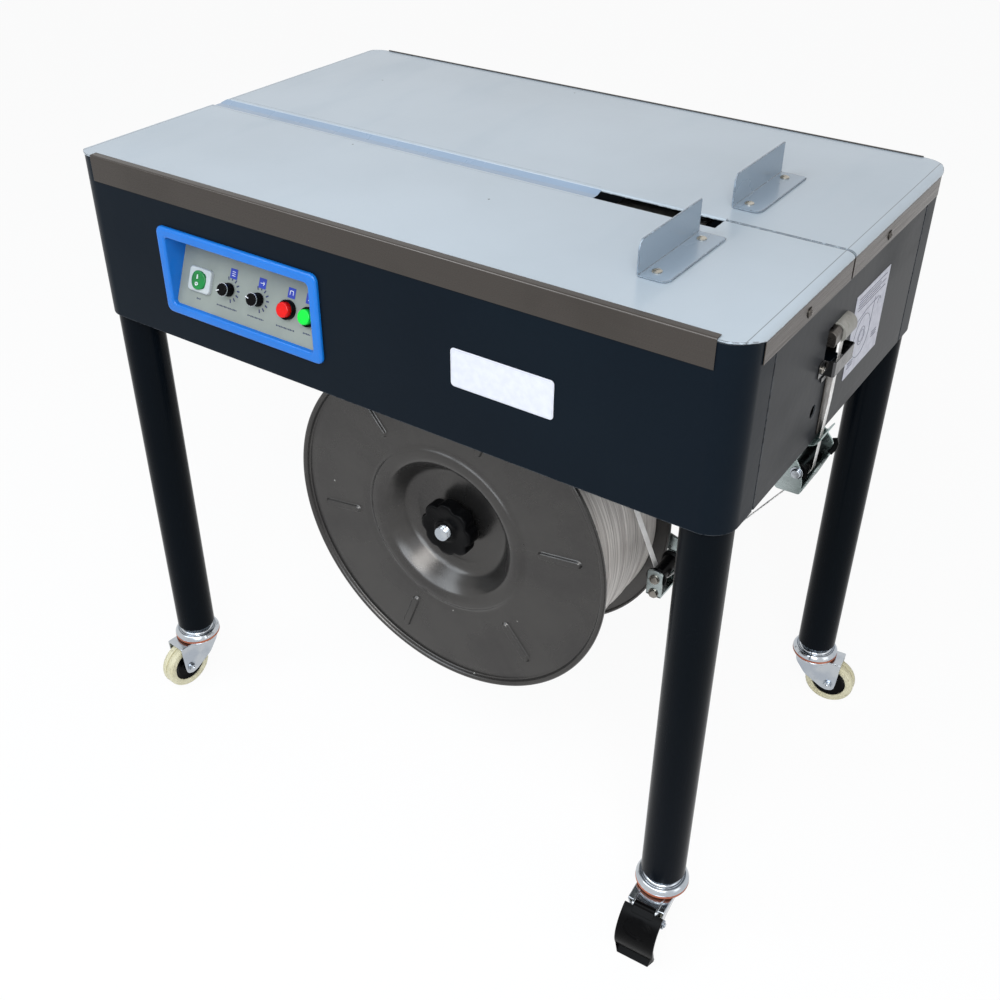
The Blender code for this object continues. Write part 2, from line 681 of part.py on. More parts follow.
def belt_outline(small, large, offset, steps=10):
    """A belt's path round two pulleys (x, z, radius), small on the left, moved out by the offset."""
    span = math.hypot(large[0] - small[0], large[1] - small[1])
    lean = math.degrees(math.asin((large[2] - small[2]) / span))
    tilt = math.degrees(math.atan2(large[1] - small[1], large[0] - small[0]))
    points = arc(small[:2], small[2] + offset, tilt + 90 + lean, tilt + 270 - lean, steps)
    return points + arc(large[:2], large[2] + offset, tilt - 90 - lean, tilt + 90 + lean, 2 * steps)


def make_mechanism():
    end = HALF_X - SHEET - 2 * GAP
    beams = [
        block((-end, y - BEAM_SIZE[0] / 2, DECK_Z - BEAM_SIZE[1]), (end, y + BEAM_SIZE[0] / 2, DECK_Z))
        for y in BEAM_Y
    ]
    deck = block((DECK_X[0], -0.150, DECK_Z - 0.001), (DECK_X[1], 0.152, DECK_Z + DECK_SHEET))
    piece("deck_frame", combined(deck, add=beams), DARK_PAINT)

    foot = DECK_Z + DECK_SHEET + GAP
    front_face, rear_face = WINDOW_Y[0] - 0.0013, WINDOW_Y[1] + 0.0015
    outline = [
        (front_face - HEAD_PLATE, foot), (rear_face + HEAD_PLATE, foot), (rear_face + HEAD_PLATE, HEAD_TOP),
        (rear_face, HEAD_TOP), (rear_face, foot + 0.012), (front_face, foot + 0.012),
        (front_face, HEAD_TOP), (front_face - HEAD_PLATE, HEAD_TOP),
    ]
    bores = [
        prism(circle(centre, radius + RUNNING, 20), front_face - 0.03, rear_face + 0.03, "Y")
        for centre, radius in (((CAM_X, CAM_Z), 0.008), ((FEED_X, FEED_Z), 0.004))
    ]
    piece("head_frame", combined(prism(outline, *HEAD_X, "X"), cut=bores), BLACK)

    inner_front, inner_rear = front_face + GAP, rear_face - GAP
    anvil = combined(
        block((0.172, WINDOW_Y[0] + 0.0025, HEAD_TOP + 0.004), (0.282, -0.0120, HEAD_TOP + 0.0075)),
        add=(block((0.242, rear_face + 0.001, HEAD_TOP + GAP), (0.272, rear_face + 0.0075, HEAD_TOP + 0.005)),),
    )
    piece("anvil_slide", anvil, STEEL)
    gripper = block((0.254, inner_front, HEAD_TOP - 0.036), (0.286, inner_rear, HEAD_TOP - 0.001))
    piece("gripper_block", gripper, STEEL)
    blade = block((0.193, -0.0290, HEAD_TOP + GAP), (0.217, 0.0650, HEAD_TOP + GAP + 0.002))
    piece("heater_blade", blade, STEEL)

    shaft = turned(
        [
            (0, -0.105), (0.008, -0.105), (0.008, PULLEY_Y[0]), (CAM_PULLEY_R, PULLEY_Y[0]),
            (CAM_PULLEY_R, PULLEY_Y[1]), (0.008, PULLEY_Y[1]), (0.008, 0.034), (0, 0.034),
        ],
        (CAM_X, CAM_Z), "Y", 28,
    )
    cams = [
        turned([(0, low), (0.012, low), (0.012, low + 0.009), (0, low + 0.009)], (CAM_X + dx, CAM_Z + dz), "Y", 20)
        for low, dx, dz in ((inner_front + 0.002, 0.003, -0.002), (inner_front + 0.0125, -0.003, -0.002))
    ]
    piece("camshaft", combined(shaft, add=cams), STEEL, (CAM_X, 0, CAM_Z))

    motor_z = foot + MOTOR_R
    motor = turned(
        [
            (0, -0.140), (0.040, -0.140), (MOTOR_R, -0.135), (MOTOR_R, -0.020), (0.040, -0.014),
            (0.016, -0.014), (0.016, -0.010), (0, -0.010),
        ],
        (MOTOR_X, motor_z), "Y", 28,
    )
    piece("drive_motor", motor, DARK_PAINT)
    pulley = turned(
        [(0, -0.010 + GAP), (0.006, -0.010 + GAP), (0.006, PULLEY_Y[0]), (MOTOR_PULLEY_R, PULLEY_Y[0]),
         (MOTOR_PULLEY_R, PULLEY_Y[1]), (0, PULLEY_Y[1])],
        (MOTOR_X, motor_z), "Y", 24,
    )
    piece("motor_pulley", pulley, STEEL, (MOTOR_X, 0, motor_z))
    small, large = (MOTOR_X, motor_z, MOTOR_PULLEY_R), (CAM_X, CAM_Z, CAM_PULLEY_R)
    belt = loop_prism(
        belt_outline(small, large, GAP + 0.003), belt_outline(small, large, 2 * GAP),
        PULLEY_Y[0] + 0.002, PULLEY_Y[1] - 0.002, "Y",
    )
    piece("drive_belt", belt, BLACK)
    feed = turned(
        [
            (0, inner_front - 0.007), (0.004, inner_front - 0.007), (0.004, inner_front + 0.001),
            (0.013, inner_front + 0.001), (0.013, inner_rear - 0.001), (0.004, inner_rear - 0.001),
            (0.004, inner_rear + 0.007), (0, inner_rear + 0.007),
        ],
        (FEED_X, FEED_Z), "Y", 24,
    )
    piece("feed_roller", feed, BLACK, (FEED_X, 0, FEED_Z))


# --- reel -----------------------------------------------------------------------------------


def make_reel():
    centre = (REEL_X, REEL_Z)
    plate_y = (BEAM_Y[0] - 0.013, BEAM_Y[0] - 0.008)
    beam_low = DECK_Z - BEAM_SIZE[1] - GAP
    outline = [(-0.040, beam_low), *arc(centre, 0.036, 200, 290, 6), (0.176, 0.452), (0.190, 0.500), (0.270, beam_low)]
    hanger = prism(outline, *plate_y, "Y")
    top_flange = block((-0.040, plate_y[0], beam_low - 0.005), (0.270, BEAM_Y[0] + BEAM_SIZE[0] / 2, beam_low))
    hub_end = REEL_FRONT_Y + DISH_DEPTH + REEL_SHEET
    axle = turned(
        [
            (0, plate_y[1]), (0.016, plate_y[1]), (0.016, REEL_REAR_Y + 2 * GAP), (SHAFT_R, REEL_REAR_Y + 2 * GAP),
            (SHAFT_R, hub_end + 0.006), (0, hub_end + 0.006),
        ],
        centre, "Y", 24,
    )
    pivot = turned([(0, plate_y[1]), (0.006, plate_y[1]), (0.006, ARM_BAR_Y[0] - 0.002), (0, ARM_BAR_Y[0] - 0.002)],
                   ARM_PIVOT, "Y", 20)
    piece("reel_hanger", combined(hanger, add=(top_flange, axle, pivot)), ZINC)

    rim = REEL_R
    bore = SHAFT_R + RUNNING
    back = REEL_REAR_Y
    core_front = REEL_FRONT_Y + 0.004
    drum = [
        (0, STUD_END_Y), (STUD_R - 0.001, STUD_END_Y), (STUD_R, STUD_END_Y + 0.001), (STUD_R, hub_end + GAP),
        (0.020, hub_end + GAP), (0.020, back - 0.012), (CORE_R - REEL_SHEET, back - 0.012),
        (CORE_R - REEL_SHEET, core_front), (CORE_R, core_front), (CORE_R, back - REEL_SHEET),
        (rim - 0.003, back - REEL_SHEET), (rim - 0.003, back - 0.0045), (rim, back - 0.0045), (rim, back),
        (bore, back), (bore, hub_end + 0.005), (0, hub_end + 0.005),
    ]
    piece("reel_drum", turned(drum, centre, "Y", 40), REEL_GREY, (REEL_X, 0, REEL_Z))

    front = REEL_FRONT_Y
    floor = front + DISH_DEPTH
    sheet = REEL_SHEET
    step_r = 0.119
    flange = [
        (STUD_R + GAP, floor), (DISH_FLOOR_R, floor), (DISH_FLOOR_R + 0.006, floor - 0.006),
        (DISH_R - 0.003, front + 0.006), (DISH_R + 0.001, front + 0.002), (step_r, front + 0.003),
        (step_r + 0.002, front + 0.0045), (rim - 0.006, front + 0.0045), (rim - 0.005, front),
        (rim, front), (rim, front + 0.0065), (rim - 0.006, front + 0.0045 + sheet), (step_r + 0.001, front + 0.0045 + sheet),
        (step_r - 0.001, front + 0.003 + sheet), (DISH_R + 0.001, front + 0.002 + sheet),
        (DISH_R - 0.002, front + 0.006 + sheet), (DISH_FLOOR_R + 0.005, floor - 0.006 + sheet),
        (DISH_FLOOR_R - 0.001, floor + sheet), (STUD_R + GAP, floor + sheet),
    ]
    piece("reel_front_flange", turned(flange, centre, "Y", 40), REEL_GREY, (REEL_X, 0, REEL_Z))

    coil = [
        (CORE_R + GAP, front + 0.0065 + sheet), (COIL_R, front + 0.0065 + sheet),
        (COIL_R, back - REEL_SHEET - 2 * GAP), (CORE_R + GAP, back - REEL_SHEET - 2 * GAP),
    ]
    piece("strap_coil", turned(coil, centre, "Y", 40), STRAP_WHITE, (REEL_X, 0, REEL_Z))

    knob_back, knob_front = floor - GAP, front + 0.007
    knob = [
        (STUD_R + RUNNING, knob_back), (0.017, knob_back), (0.020, knob_back - 0.006),
        (REEL_KNOB_R - 0.003, knob_back - 0.008), (REEL_KNOB_R, knob_back - 0.012), (REEL_KNOB_R, knob_front + 0.004),
        (REEL_KNOB_R - 0.004, knob_front), (0.014, knob_front - 0.001), (0.013, knob_front + 0.001),
        (STUD_R + RUNNING, knob_front + 0.001),
    ]
    star = turned(knob, centre, "Y", 4 * REEL_KNOB_LOBES, REEL_KNOB_LOBES, 0.0016)
    piece("reel_star_knob", star, BLACK, (REEL_X, 0, REEL_Z))


# --- strap path -----------------------------------------------------------------------------


def spool(centre, barrel_r, disc_r, span, axle_r):
    low, high = span
    disc = 0.003
    profile = [
        (axle_r + RUNNING, low), (disc_r, low), (disc_r, low + disc), (barrel_r, low + 2 * disc),
        (barrel_r, high - 2 * disc), (disc_r, high - disc), (disc_r, high), (axle_r + RUNNING, high),
    ]
    return turned(profile, centre, "Y", 24)


def make_rollers():
    x, z = ARM_ROLLER
    low, high = ARM_ROLLER_Y
    sheet = 0.003
    half = 0.010
    web_z = z - ROLLER_DISC_R - 0.0125
    upright = [(x - half, web_z), (x + half, web_z), (x + half, z + 0.004),
               *arc((x, z + 0.002), half, 20, 160, 4), (x - half, z + 0.004)]
    ends = [
        prism(upright, low - GAP - sheet, low - GAP, "Y"),
        prism(upright, high + GAP, high + GAP + sheet, "Y"),
    ]
    web = block((x - half, low - GAP - sheet, web_z), (x + half, ARM_BAR_Y[1], web_z + sheet))
    lean = math.atan2(web_z + 0.006 - ARM_PIVOT[1], x - ARM_PIVOT[0])
    across = Vector((-math.sin(lean), math.cos(lean))) * 0.011
    start, end = Vector(ARM_PIVOT), Vector((x, web_z + 0.008))
    bar = prism(
        [tuple(start - across), tuple(end - across), tuple(end + across), tuple(start + across)],
        *ARM_BAR_Y, "Y",
    )
    eye = turned([(0, ARM_BAR_Y[0]), (0.013, ARM_BAR_Y[0]), (0.013, ARM_BAR_Y[1]), (0, ARM_BAR_Y[1])], ARM_PIVOT, "Y", 24)
    hole = prism(circle(ARM_PIVOT, 0.006 + RUNNING, 24), ARM_BAR_Y[0] - 0.01, ARM_BAR_Y[1] + 0.01, "Y")
    reach = low - GAP - sheet - 0.003
    axle = turned([(0, reach), (AXLE_R, reach), (AXLE_R, high + 0.006), (0, high + 0.006)], (x, z), "Y", 16)
    bolts = [
        turned([(0, reach - 0.002), (0.0055, reach - 0.002), (0.0055, low - 0.0015), (0, low - 0.0015)], (x, bolt_z), "Y", 12)
        for bolt_z in (z, z - 0.021)
    ]
    arm = combined(bar, add=(eye, web, *ends, axle, *bolts), cut=(hole,))
    piece("dancer_arm", arm, ZINC, (ARM_PIVOT[0], 0, ARM_PIVOT[1]))
    roller = spool((x, z), ROLLER_R, ROLLER_DISC_R, (low, high), AXLE_R)
    piece("dancer_roller", roller, BLACK, (x, 0, z))

    x, z = SIDE_ROLLER
    low, high = SIDE_ROLLER_Y
    sheet = 0.002
    top = CABINET_BOTTOM - GAP
    nose_x, tip_x = HALF_X - 0.0013, HALF_X + 0.0121
    nose_z, tip_z = CABINET_BOTTOM - 0.069, CABINET_BOTTOM - 0.033
    plate = [
        (HALF_X - 0.0535, top), (HALF_X - 0.0445, z), (HALF_X - 0.0305, nose_z - 0.001), (nose_x, nose_z),
        (tip_x, tip_z), (tip_x, tip_z + 0.016), (HALF_X - 0.0020, top),
    ]
    ends = [
        prism(plate, low - GAP - sheet, low - GAP, "Y"),
        prism(plate, high + GAP, high + GAP + sheet, "Y"),
    ]
    span = (low - GAP - sheet, high + GAP + sheet)
    inset = 0.0004
    web_span = (span[0] + inset, span[1] - inset)
    web = prism(
        [
            (nose_x - inset, nose_z + 0.0006), (tip_x - inset, tip_z + 0.0003),
            (tip_x - sheet, tip_z + 0.0010), (nose_x - sheet, nose_z + 0.0010),
        ],
        *web_span, "Y",
    )
    top_plate = block((HALF_X - 0.0523, web_span[0], top - sheet), (HALF_X - 0.0115, web_span[1], top - inset))
    reach = span[0] - 0.004
    axle = turned([(0, reach), (AXLE_R, reach), (AXLE_R, span[1] + 0.002), (0, span[1] + 0.002)], (x, z), "Y", 16)
    bolt = turned([(0, reach - 0.001), (0.006, reach - 0.001), (0.006, span[0] + 0.001), (0, span[0] + 0.001)], (x, z), "Y", 16)
    piece("side_roller_bracket", combined(top_plate, add=(*ends, web, axle, bolt)), ZINC)
    roller = spool((x, z), SIDE_ROLLER_R - 0.0015, SIDE_ROLLER_R, (low, high), AXLE_R)
    piece("side_roller", roller, BLACK, (x, 0, z))


def make_strap_guide():
    face = HALF_X + GAP
    stand = 0.0125
    clamp_low, clamp_top = ENTRY_TOP - 0.059, ENTRY_TOP - 0.028
    outer = HALF_X + stand
    sheet = 0.0015
    path = [
        (face, ENTRY_Y[0] - 0.014), (face, ENTRY_Y[0]), (outer, ENTRY_Y[0]),
        (outer, ENTRY_Y[1]), (face, ENTRY_Y[1]), (face, ENTRY_Y[1] + 0.009),
    ]
    clamp = prism(ribbon(path, -sheet), clamp_low, clamp_top, "Z")
    strip = block((face, STRAP_Y - 0.0115, CABINET_BOTTOM + 0.007), (face + sheet, STRAP_Y + 0.0115, clamp_low - 0.003))
    link = block((face, -0.0750, clamp_low - 0.004), (face + sheet, -0.0180, clamp_low + 0.0015))
    screw = turned([(0, face), (0.0035, face), (0.0035, face + 0.004), (0, face + 0.004)], (-0.0810, clamp_low + 0.0155), "X", 16)
    piece("strap_clamp", combined(clamp, add=(strip, link, screw)), STEEL)
    nose = [
        (HALF_X - 0.012, ENTRY_TOP - 0.020), (outer - 0.002, ENTRY_TOP - 0.020), (outer, ENTRY_TOP - 0.016),
        *arc((outer - 0.012, ENTRY_TOP - GAP - 0.012), 0.012, 0, 90, 5), (HALF_X - 0.012, ENTRY_TOP - GAP),
    ]
    piece("strap_entry_block", prism(nose, ENTRY_Y[0] + GAP, ENTRY_Y[1] - GAP, "Y"), ZINC)


def strap_path():
    """The strap's middle line: off the coil, under the dancer roller, over the side roller, up the guide."""
    half = STRAP_THICK / 2
    first_y = (ARM_ROLLER_Y[0] + ARM_ROLLER_Y[1]) / 2
    centre, wrap = Vector(ARM_ROLLER), ROLLER_R + GAP + half
    coil_angle = math.radians(24)
    start_r = COIL_R + GAP + half
    start = Vector((REEL_X + start_r * math.cos(coil_angle), REEL_Z + start_r * math.sin(coil_angle)))
    side, side_wrap = Vector(SIDE_ROLLER), SIDE_ROLLER_R - 0.0015 + GAP + half
    across = side - centre
    incoming = math.degrees(math.atan2(across.y, across.x)) - 90
    lean = math.degrees(math.asin((side_wrap - wrap) / across.length))
    leave = incoming + lean
    arrive = math.degrees(math.atan2(start.y - centre.y, start.x - centre.x))
    arrive += math.degrees(math.acos(wrap / (start - centre).length))
    points = [(start, first_y)]
    points += [(Vector(p), first_y) for p in arc(centre, wrap, arrive, 360 + leave, 12)]
    points += [(Vector(p), STRAP_Y) for p in arc(side, side_wrap, leave, 4, 5)]
    points += [(Vector((HALF_X + 0.0060, 0.700)), STRAP_Y), (Vector((HALF_X + 0.0070, ENTRY_TOP - 0.0225)), STRAP_Y)]
    return points


def make_strap():
    points = strap_path()
    shape = bmesh.new()
    rings = []
    for k, (point, y) in enumerate(points):
        before = points[max(k - 1, 0)][0]
        after = points[min(k + 1, len(points) - 1)][0]
        along = (after - before).normalized()
        out = Vector((-along.y, along.x)) * STRAP_THICK / 2
        corners = [(out, -1), (out, 1), (-out, 1), (-out, -1)]
        ring = []
        for offset, side in corners:
            spot = point + offset
            ring.append(shape.verts.new((spot.x, y + side * STRAP_WIDTH / 2, spot.y)))
        rings.append(ring)
    for ring, following in zip(rings, rings[1:]):
        for k in range(4):
            after = (k + 1) % 4
            shape.faces.new((ring[k], ring[after], following[after], following[k]))
    shape.faces.new(rings[0])
    shape.faces.new(rings[-1])
    piece("strap_run", closed(shape), STRAP_WHITE)


# --- the machine ----------------------------------------------------------------------------


for old in list(bpy.data.objects):
    bpy.data.objects.remove(old)

machine = bpy.data.objects.new("machine", None)
bpy.context.scene.collection.objects.link(machine)

PALE_PAINT = material("pale_paint", (0.47, 0.55, 0.61), 0.30)
DARK_PAINT = material("dark_paint", (0.014, 0.021, 0.029), 0.32)
STAINLESS = material("stainless", (0.42, 0.38, 0.34), 0.32, 1.0)
ZINC = material("zinc", (0.62, 0.66, 0.68), 0.28, 1.0)
STEEL = material("steel", (0.40, 0.40, 0.40), 0.35, 1.0)
REEL_GREY = material("reel_grey", (0.17, 0.17, 0.17), 0.38, 0.7)
CREAM = material("cream_tyre", (0.70, 0.66, 0.50), 0.45)
BLACK = material("black_plastic", (0.012, 0.012, 0.013), 0.40)
BLUE = material("blue_plastic", (0.010, 0.150, 0.640), 0.35)
GREY_PLATE = material("grey_plate", (0.24, 0.27, 0.26), 0.45)
GREEN = material("green_plastic", (0.010, 0.350, 0.060), 0.25)
RED = material("red_plastic", (0.600, 0.010, 0.010), 0.30)
STRAP_WHITE = material("strap_white", (0.72, 0.71, 0.69), 0.45)

# Each leg's place, and the way its caster's wheel trails, in degrees from +X.
CORNERS = {
    "front_left": (-LEG_X, -LEG_Y, 264),
    "front_right": (LEG_X, -LEG_Y, 273),
    "rear_left": (-LEG_X, LEG_Y, 95),
    "rear_right": (LEG_X, LEG_Y, 6),
}
BRAKED = ("front_right", "rear_left")

make_table()
make_cabinet()
make_trims()
make_stops()
make_legs()
make_casters()
make_controls()
make_mechanism()
make_reel()
make_rollers()
make_strap_guide()
make_strap()

bpy.context.view_layer.update()
corners = [
    part.matrix_world @ vertex.co
    for part in bpy.data.objects if part.type == "MESH"
    for vertex in part.data.vertices
]
low = [min(corner[k] for corner in corners) for k in range(3)]
high = [max(corner[k] for corner in corners) for k in range(3)]
machine.location = (-(low[0] + high[0]) / 2, -(low[1] + high[1]) / 2, -low[2])
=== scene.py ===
"""Looks for the semi-automatic strapping machine: finishes, fine surfaces, camera and light.

Every new piece is worked out with numpy about the middle of the cabinet and then moved to the
frame's origin. Metres throughout. X is the long side, -Y the operator's side, +Z up.
"""

import json
import math

import bmesh
import bpy
import numpy as np
from mathutils import Matrix, Vector


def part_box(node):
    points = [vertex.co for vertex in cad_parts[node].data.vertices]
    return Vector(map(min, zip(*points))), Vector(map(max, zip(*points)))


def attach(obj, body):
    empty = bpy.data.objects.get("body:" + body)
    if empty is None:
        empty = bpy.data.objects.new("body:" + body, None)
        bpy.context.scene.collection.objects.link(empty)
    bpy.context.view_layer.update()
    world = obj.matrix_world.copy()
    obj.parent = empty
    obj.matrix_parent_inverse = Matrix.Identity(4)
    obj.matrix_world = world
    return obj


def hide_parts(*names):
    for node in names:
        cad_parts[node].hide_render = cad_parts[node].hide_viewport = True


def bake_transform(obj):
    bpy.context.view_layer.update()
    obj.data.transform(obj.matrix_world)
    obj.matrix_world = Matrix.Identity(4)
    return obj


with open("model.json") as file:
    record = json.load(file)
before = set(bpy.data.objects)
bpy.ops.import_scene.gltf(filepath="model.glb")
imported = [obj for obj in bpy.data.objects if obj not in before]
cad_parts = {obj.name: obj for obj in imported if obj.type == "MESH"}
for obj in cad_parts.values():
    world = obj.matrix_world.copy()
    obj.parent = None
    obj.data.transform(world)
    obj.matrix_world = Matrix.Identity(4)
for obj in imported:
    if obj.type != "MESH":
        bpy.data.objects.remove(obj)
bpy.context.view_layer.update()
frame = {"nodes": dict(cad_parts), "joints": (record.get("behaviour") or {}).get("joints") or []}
JOINTS = {joint["name"]: joint for joint in frame["joints"]}


# --- places read from the frame -------------------------------------------------------------


def corners(node):
    """Lowest and highest corner of a CAD node, measured from the middle of the cabinet."""
    low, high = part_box(node)
    return np.array(low) - MIDDLE, np.array(high) - MIDDLE


MIDDLE = np.zeros(3)
front_low, front_high = corners("front_panel")
_, rear_high = corners("rear_panel")
MIDDLE = np.array([(front_low[0] + front_high[0]) / 2, (front_low[1] + rear_high[1]) / 2, 0.0])

HALF_X = (front_high[0] - front_low[0]) / 2
HALF_Y = (rear_high[1] - front_low[1]) / 2
CABINET_BOTTOM = front_low[2]
PANEL_TOP = front_high[2]
SHEET, EDGE = 0.002, 0.0005
TABLE_SHEET = 0.0019
BORDER = 0.013
CORNER_R = 0.0325
LEG_X, LEG_Y = HALF_X - CORNER_R, HALF_Y - CORNER_R
SEAM_Y = corners("side_panel_right")[1][1]
TABLE_TOP = corners("table_plate_rear")[1][2]
PLATE_END = corners("table_plate_rear")[1][0]
TRIM_LOW = corners("trim_front")[0][2]
WINDOW_X = (0.147, 0.303)
WINDOW_Y = (-0.0587, -0.031)


def joint_place(name):
    """A point on a joint's axis, from the middle of the cabinet, and the axis."""
    joint = JOINTS[name]
    return np.array(joint.get("pos_m", (0, 0, 0))) - MIDDLE, np.array(joint["axis"], float)


# --- outlines: arrays of (a, b) points ------------------------------------------------------


def arc(centre, radius, start, end, steps):
    """Points at equal angles, in degrees, on a circle."""
    turn = np.radians(np.linspace(start, end, steps + 1))
    return np.array(centre) + radius * np.stack([np.cos(turn), np.sin(turn)], 1)


def circle(centre, radius, steps=48):
    return arc(centre, radius, 0, 360, steps)[:-1]


def rounded(low, high, radius, steps=6):
    """A rectangle with quarter circles at its corners, anticlockwise."""
    (x0, y0), (x1, y1) = low, high
    spots = (
        ((x1, y0), (-1, 1), -90), ((x1, y1), (-1, -1), 0), ((x0, y1), (1, -1), 90), ((x0, y0), (1, 1), 180)
    )
    parts = [
        arc(np.array(corner) + radius * np.array(inward), radius, start, start + 90, steps)
        for corner, inward, start in spots
    ]
    return np.concatenate(parts)


def fillet(points, radius, steps=5, closed=True):
    """A polyline with each corner replaced by a smooth curve that starts a radius before it.

    The curve is the quadratic blend of the point before, the corner and the point after.
    """
    points = np.array(points, float)
    before, after = np.roll(points, 1, 0), np.roll(points, -1, 0)
    back, ahead = before - points, after - points
    reach = np.minimum(
        radius, 0.49 * np.minimum(np.linalg.norm(back, axis=1), np.linalg.norm(ahead, axis=1))
    )[:, None]
    start = points + reach * back / np.linalg.norm(back, axis=1)[:, None]
    end = points + reach * ahead / np.linalg.norm(ahead, axis=1)[:, None]
    share = np.linspace(0, 1, steps + 1)[None, :, None]
    curve = (1 - share) ** 2 * start[:, None] + 2 * share * (
        1 - share
    ) * points[:, None] + share**2 * end[:, None]
    if closed:
        return curve.reshape(-1, 2)
    return np.concatenate([points[:1], curve[1:-1].reshape(-1, 2), points[-1:]])


def offset(outline, distance, closed=True):
    """Each point moved along the mitre of its two edges; positive is to the left of travel."""
    ahead = np.roll(outline, -1, 0) - outline
    if not closed:
        ahead[-1] = ahead[-2]
    ahead = ahead / np.maximum(np.linalg.norm(ahead, axis=1, keepdims=True), 1e-12)
    behind = np.roll(ahead, 1, 0)
    if not closed:
        behind[0] = ahead[0]
    normal = np.stack([-ahead[:, 1] - behind[:, 1], ahead[:, 0] + behind[:, 0]], 1)
    scale = 1 + (ahead * behind).sum(1, keepdims=True)
    return outline + distance * normal / np.maximum(scale, 0.25)


def bent(path, thickness, radius):
    """The closed outline of a folded sheet: a path with rounded folds, and its offset."""
    line = fillet(path, radius, closed=False)
    return np.concatenate([line, offset(line, thickness, closed=False)[::-1]])


def area(outline):
    following = np.roll(outline, -1, 0)
    return 0.5 * np.sum(outline[:, 0] * following[:, 1] - following[:, 0] * outline[:, 1])


# --- shapes: (points, faces) ----------------------------------------------------------------


def along(axis, outline, height):
    """Outline points set at a height along an axis: (y, z) for X, (x, z) for Y, (x, y) for Z."""
    a, b = outline[..., 0], outline[..., 1]
    h = np.broadcast_to(height, a.shape)
    return np.stack({"X": (h, a, b), "Y": (a, h, b), "Z": (a, b, h)}[axis], -1)


def skin(rings, closed=False, caps=True):
    """Quads between loops of points, an array (loops, points, 3); flat caps on the end loops."""
    count, size = rings.shape[:2]
    index = np.arange(count * size).reshape(count, size)
    here, following = (index, np.roll(index, -1, 0)) if closed else (index[:-1], index[1:])
    quads = np.stack([here, np.roll(here, -1, 1), np.roll(following, -1, 1), following], -1)
    faces = quads.reshape(-1, 4).tolist()
    if caps and not closed:
        faces += [index[0, ::-1].tolist(), index[-1].tolist()]
    return rings.reshape(-1, 3), faces


def grid(points):
    """Quads over an open sheet of points, an array (rows, columns, 3)."""
    rows, columns = points.shape[:2]
    index = np.arange(rows * columns).reshape(rows, columns)
    quads = np.stack([index[:-1, :-1], index[:-1, 1:], index[1:, 1:], index[1:, :-1]], -1)
    return points.reshape(-1, 3), quads.reshape(-1, 4).tolist()


def prism(outline, low, high, axis, bevel=0.0004, steps=3):
    """An outline carried from low to high; near each end it draws in along a quarter circle."""
    outline = np.array(outline, float)
    if area(outline) < 0:
        outline = outline[::-1]
    bevel = min(bevel, 0.45 * (high - low))
    turn = np.radians(np.linspace(0, 90, steps + 1))
    draw = bevel * (1 - np.sin(turn))
    rise = bevel * (1 - np.cos(turn))
    rings = [along(axis, offset(outline, d), low + r) for d, r in zip(draw, rise)]
    rings += [along(axis, offset(outline, d), high - r) for d, r in zip(draw[::-1], rise[::-1])]
    return skin(np.array(rings))


def box(low, high, bevel=0.0005):
    """A block with small rounded edges."""
    radius = min(bevel, 0.3 * min(high[0] - low[0], high[1] - low[1]))
    return prism(rounded(low[:2], high[:2], radius, 3), low[2], high[2], "Z", bevel)


def lathe(profile, centre, axis, steps=64, wave=None, closed=None, crowd=None):
    """A profile of (radius, height) turned about an axis.

    wave(radius, angle, height) may return a new radius and height over the whole turn.
    crowd is (count, first): the steps close up round that many evenly spaced directions.
    """
    profile = np.array(profile, float)
    angle = np.linspace(0, 2 * np.pi, steps, endpoint=False)[None, :]
    if crowd is not None:
        count, first = crowd
        angle = angle + math.radians(first) - 0.85 * np.sin(count * angle) / count
    radius = np.repeat(profile[:, :1], steps, 1)
    height = np.repeat(profile[:, 1:], steps, 1)
    if wave is not None:
        radius, height = wave(radius, angle, height)
    ring = np.stack([centre[0] + radius * np.cos(angle), centre[1] + radius * np.sin(angle)], -1)
    closed = profile[0, 0] > 1e-9 if closed is None else closed
    return skin(along(axis, ring, height), closed=closed, caps=False)


def rod(radius, low, high, centre, steps, axis="Y"):
    return lathe([(0.0, low), (radius, low), (radius, high), (0.0, high)], centre, axis, steps)


def smooth_profile(points, radius, steps=4):
    """A lathe profile with its corners rounded, open where it starts on the axis."""
    return fillet(points, radius, steps, closed=points[0][0] > 1e-9)


def sweep(section, path, up):
    """A closed section carried along a path; its second direction stays nearest to up.

    At each station the section's plane is square to the path: one direction is the cross
    product of the path's tangent and up, the other completes the frame.
    """
    path = np.array(path, float)
    tangent = np.gradient(path, axis=0)
    tangent /= np.linalg.norm(tangent, axis=1, keepdims=True)
    side = np.cross(tangent, np.broadcast_to(up, tangent.shape))
    side /= np.linalg.norm(side, axis=1, keepdims=True)
    rise = np.cross(side, tangent)
    rings = path[:, None] + section[None, :, :1] * side[:, None] + section[None, :, 1:] * rise[:, None]
    return skin(rings)


def join(*shapes):
    """Several shapes as one."""
    points, faces, count = [], [], 0
    for more_points, more_faces in shapes:
        points.append(more_points)
        faces += [[index + count for index in face] for face in more_faces]
        count += len(more_points)
    return np.concatenate(points), faces


def placed(shape, matrix=None, shift=(0, 0, 0)):
    points, faces = shape
    if matrix is not None:
        points = points @ np.array(matrix).T
    return points + np.array(shift), faces


def turned_about_z(degrees):
    c, s = math.cos(math.radians(degrees)), math.sin(math.radians(degrees))
    return np.array([[c, -s, 0], [s, c, 0], [0, 0, 1]])


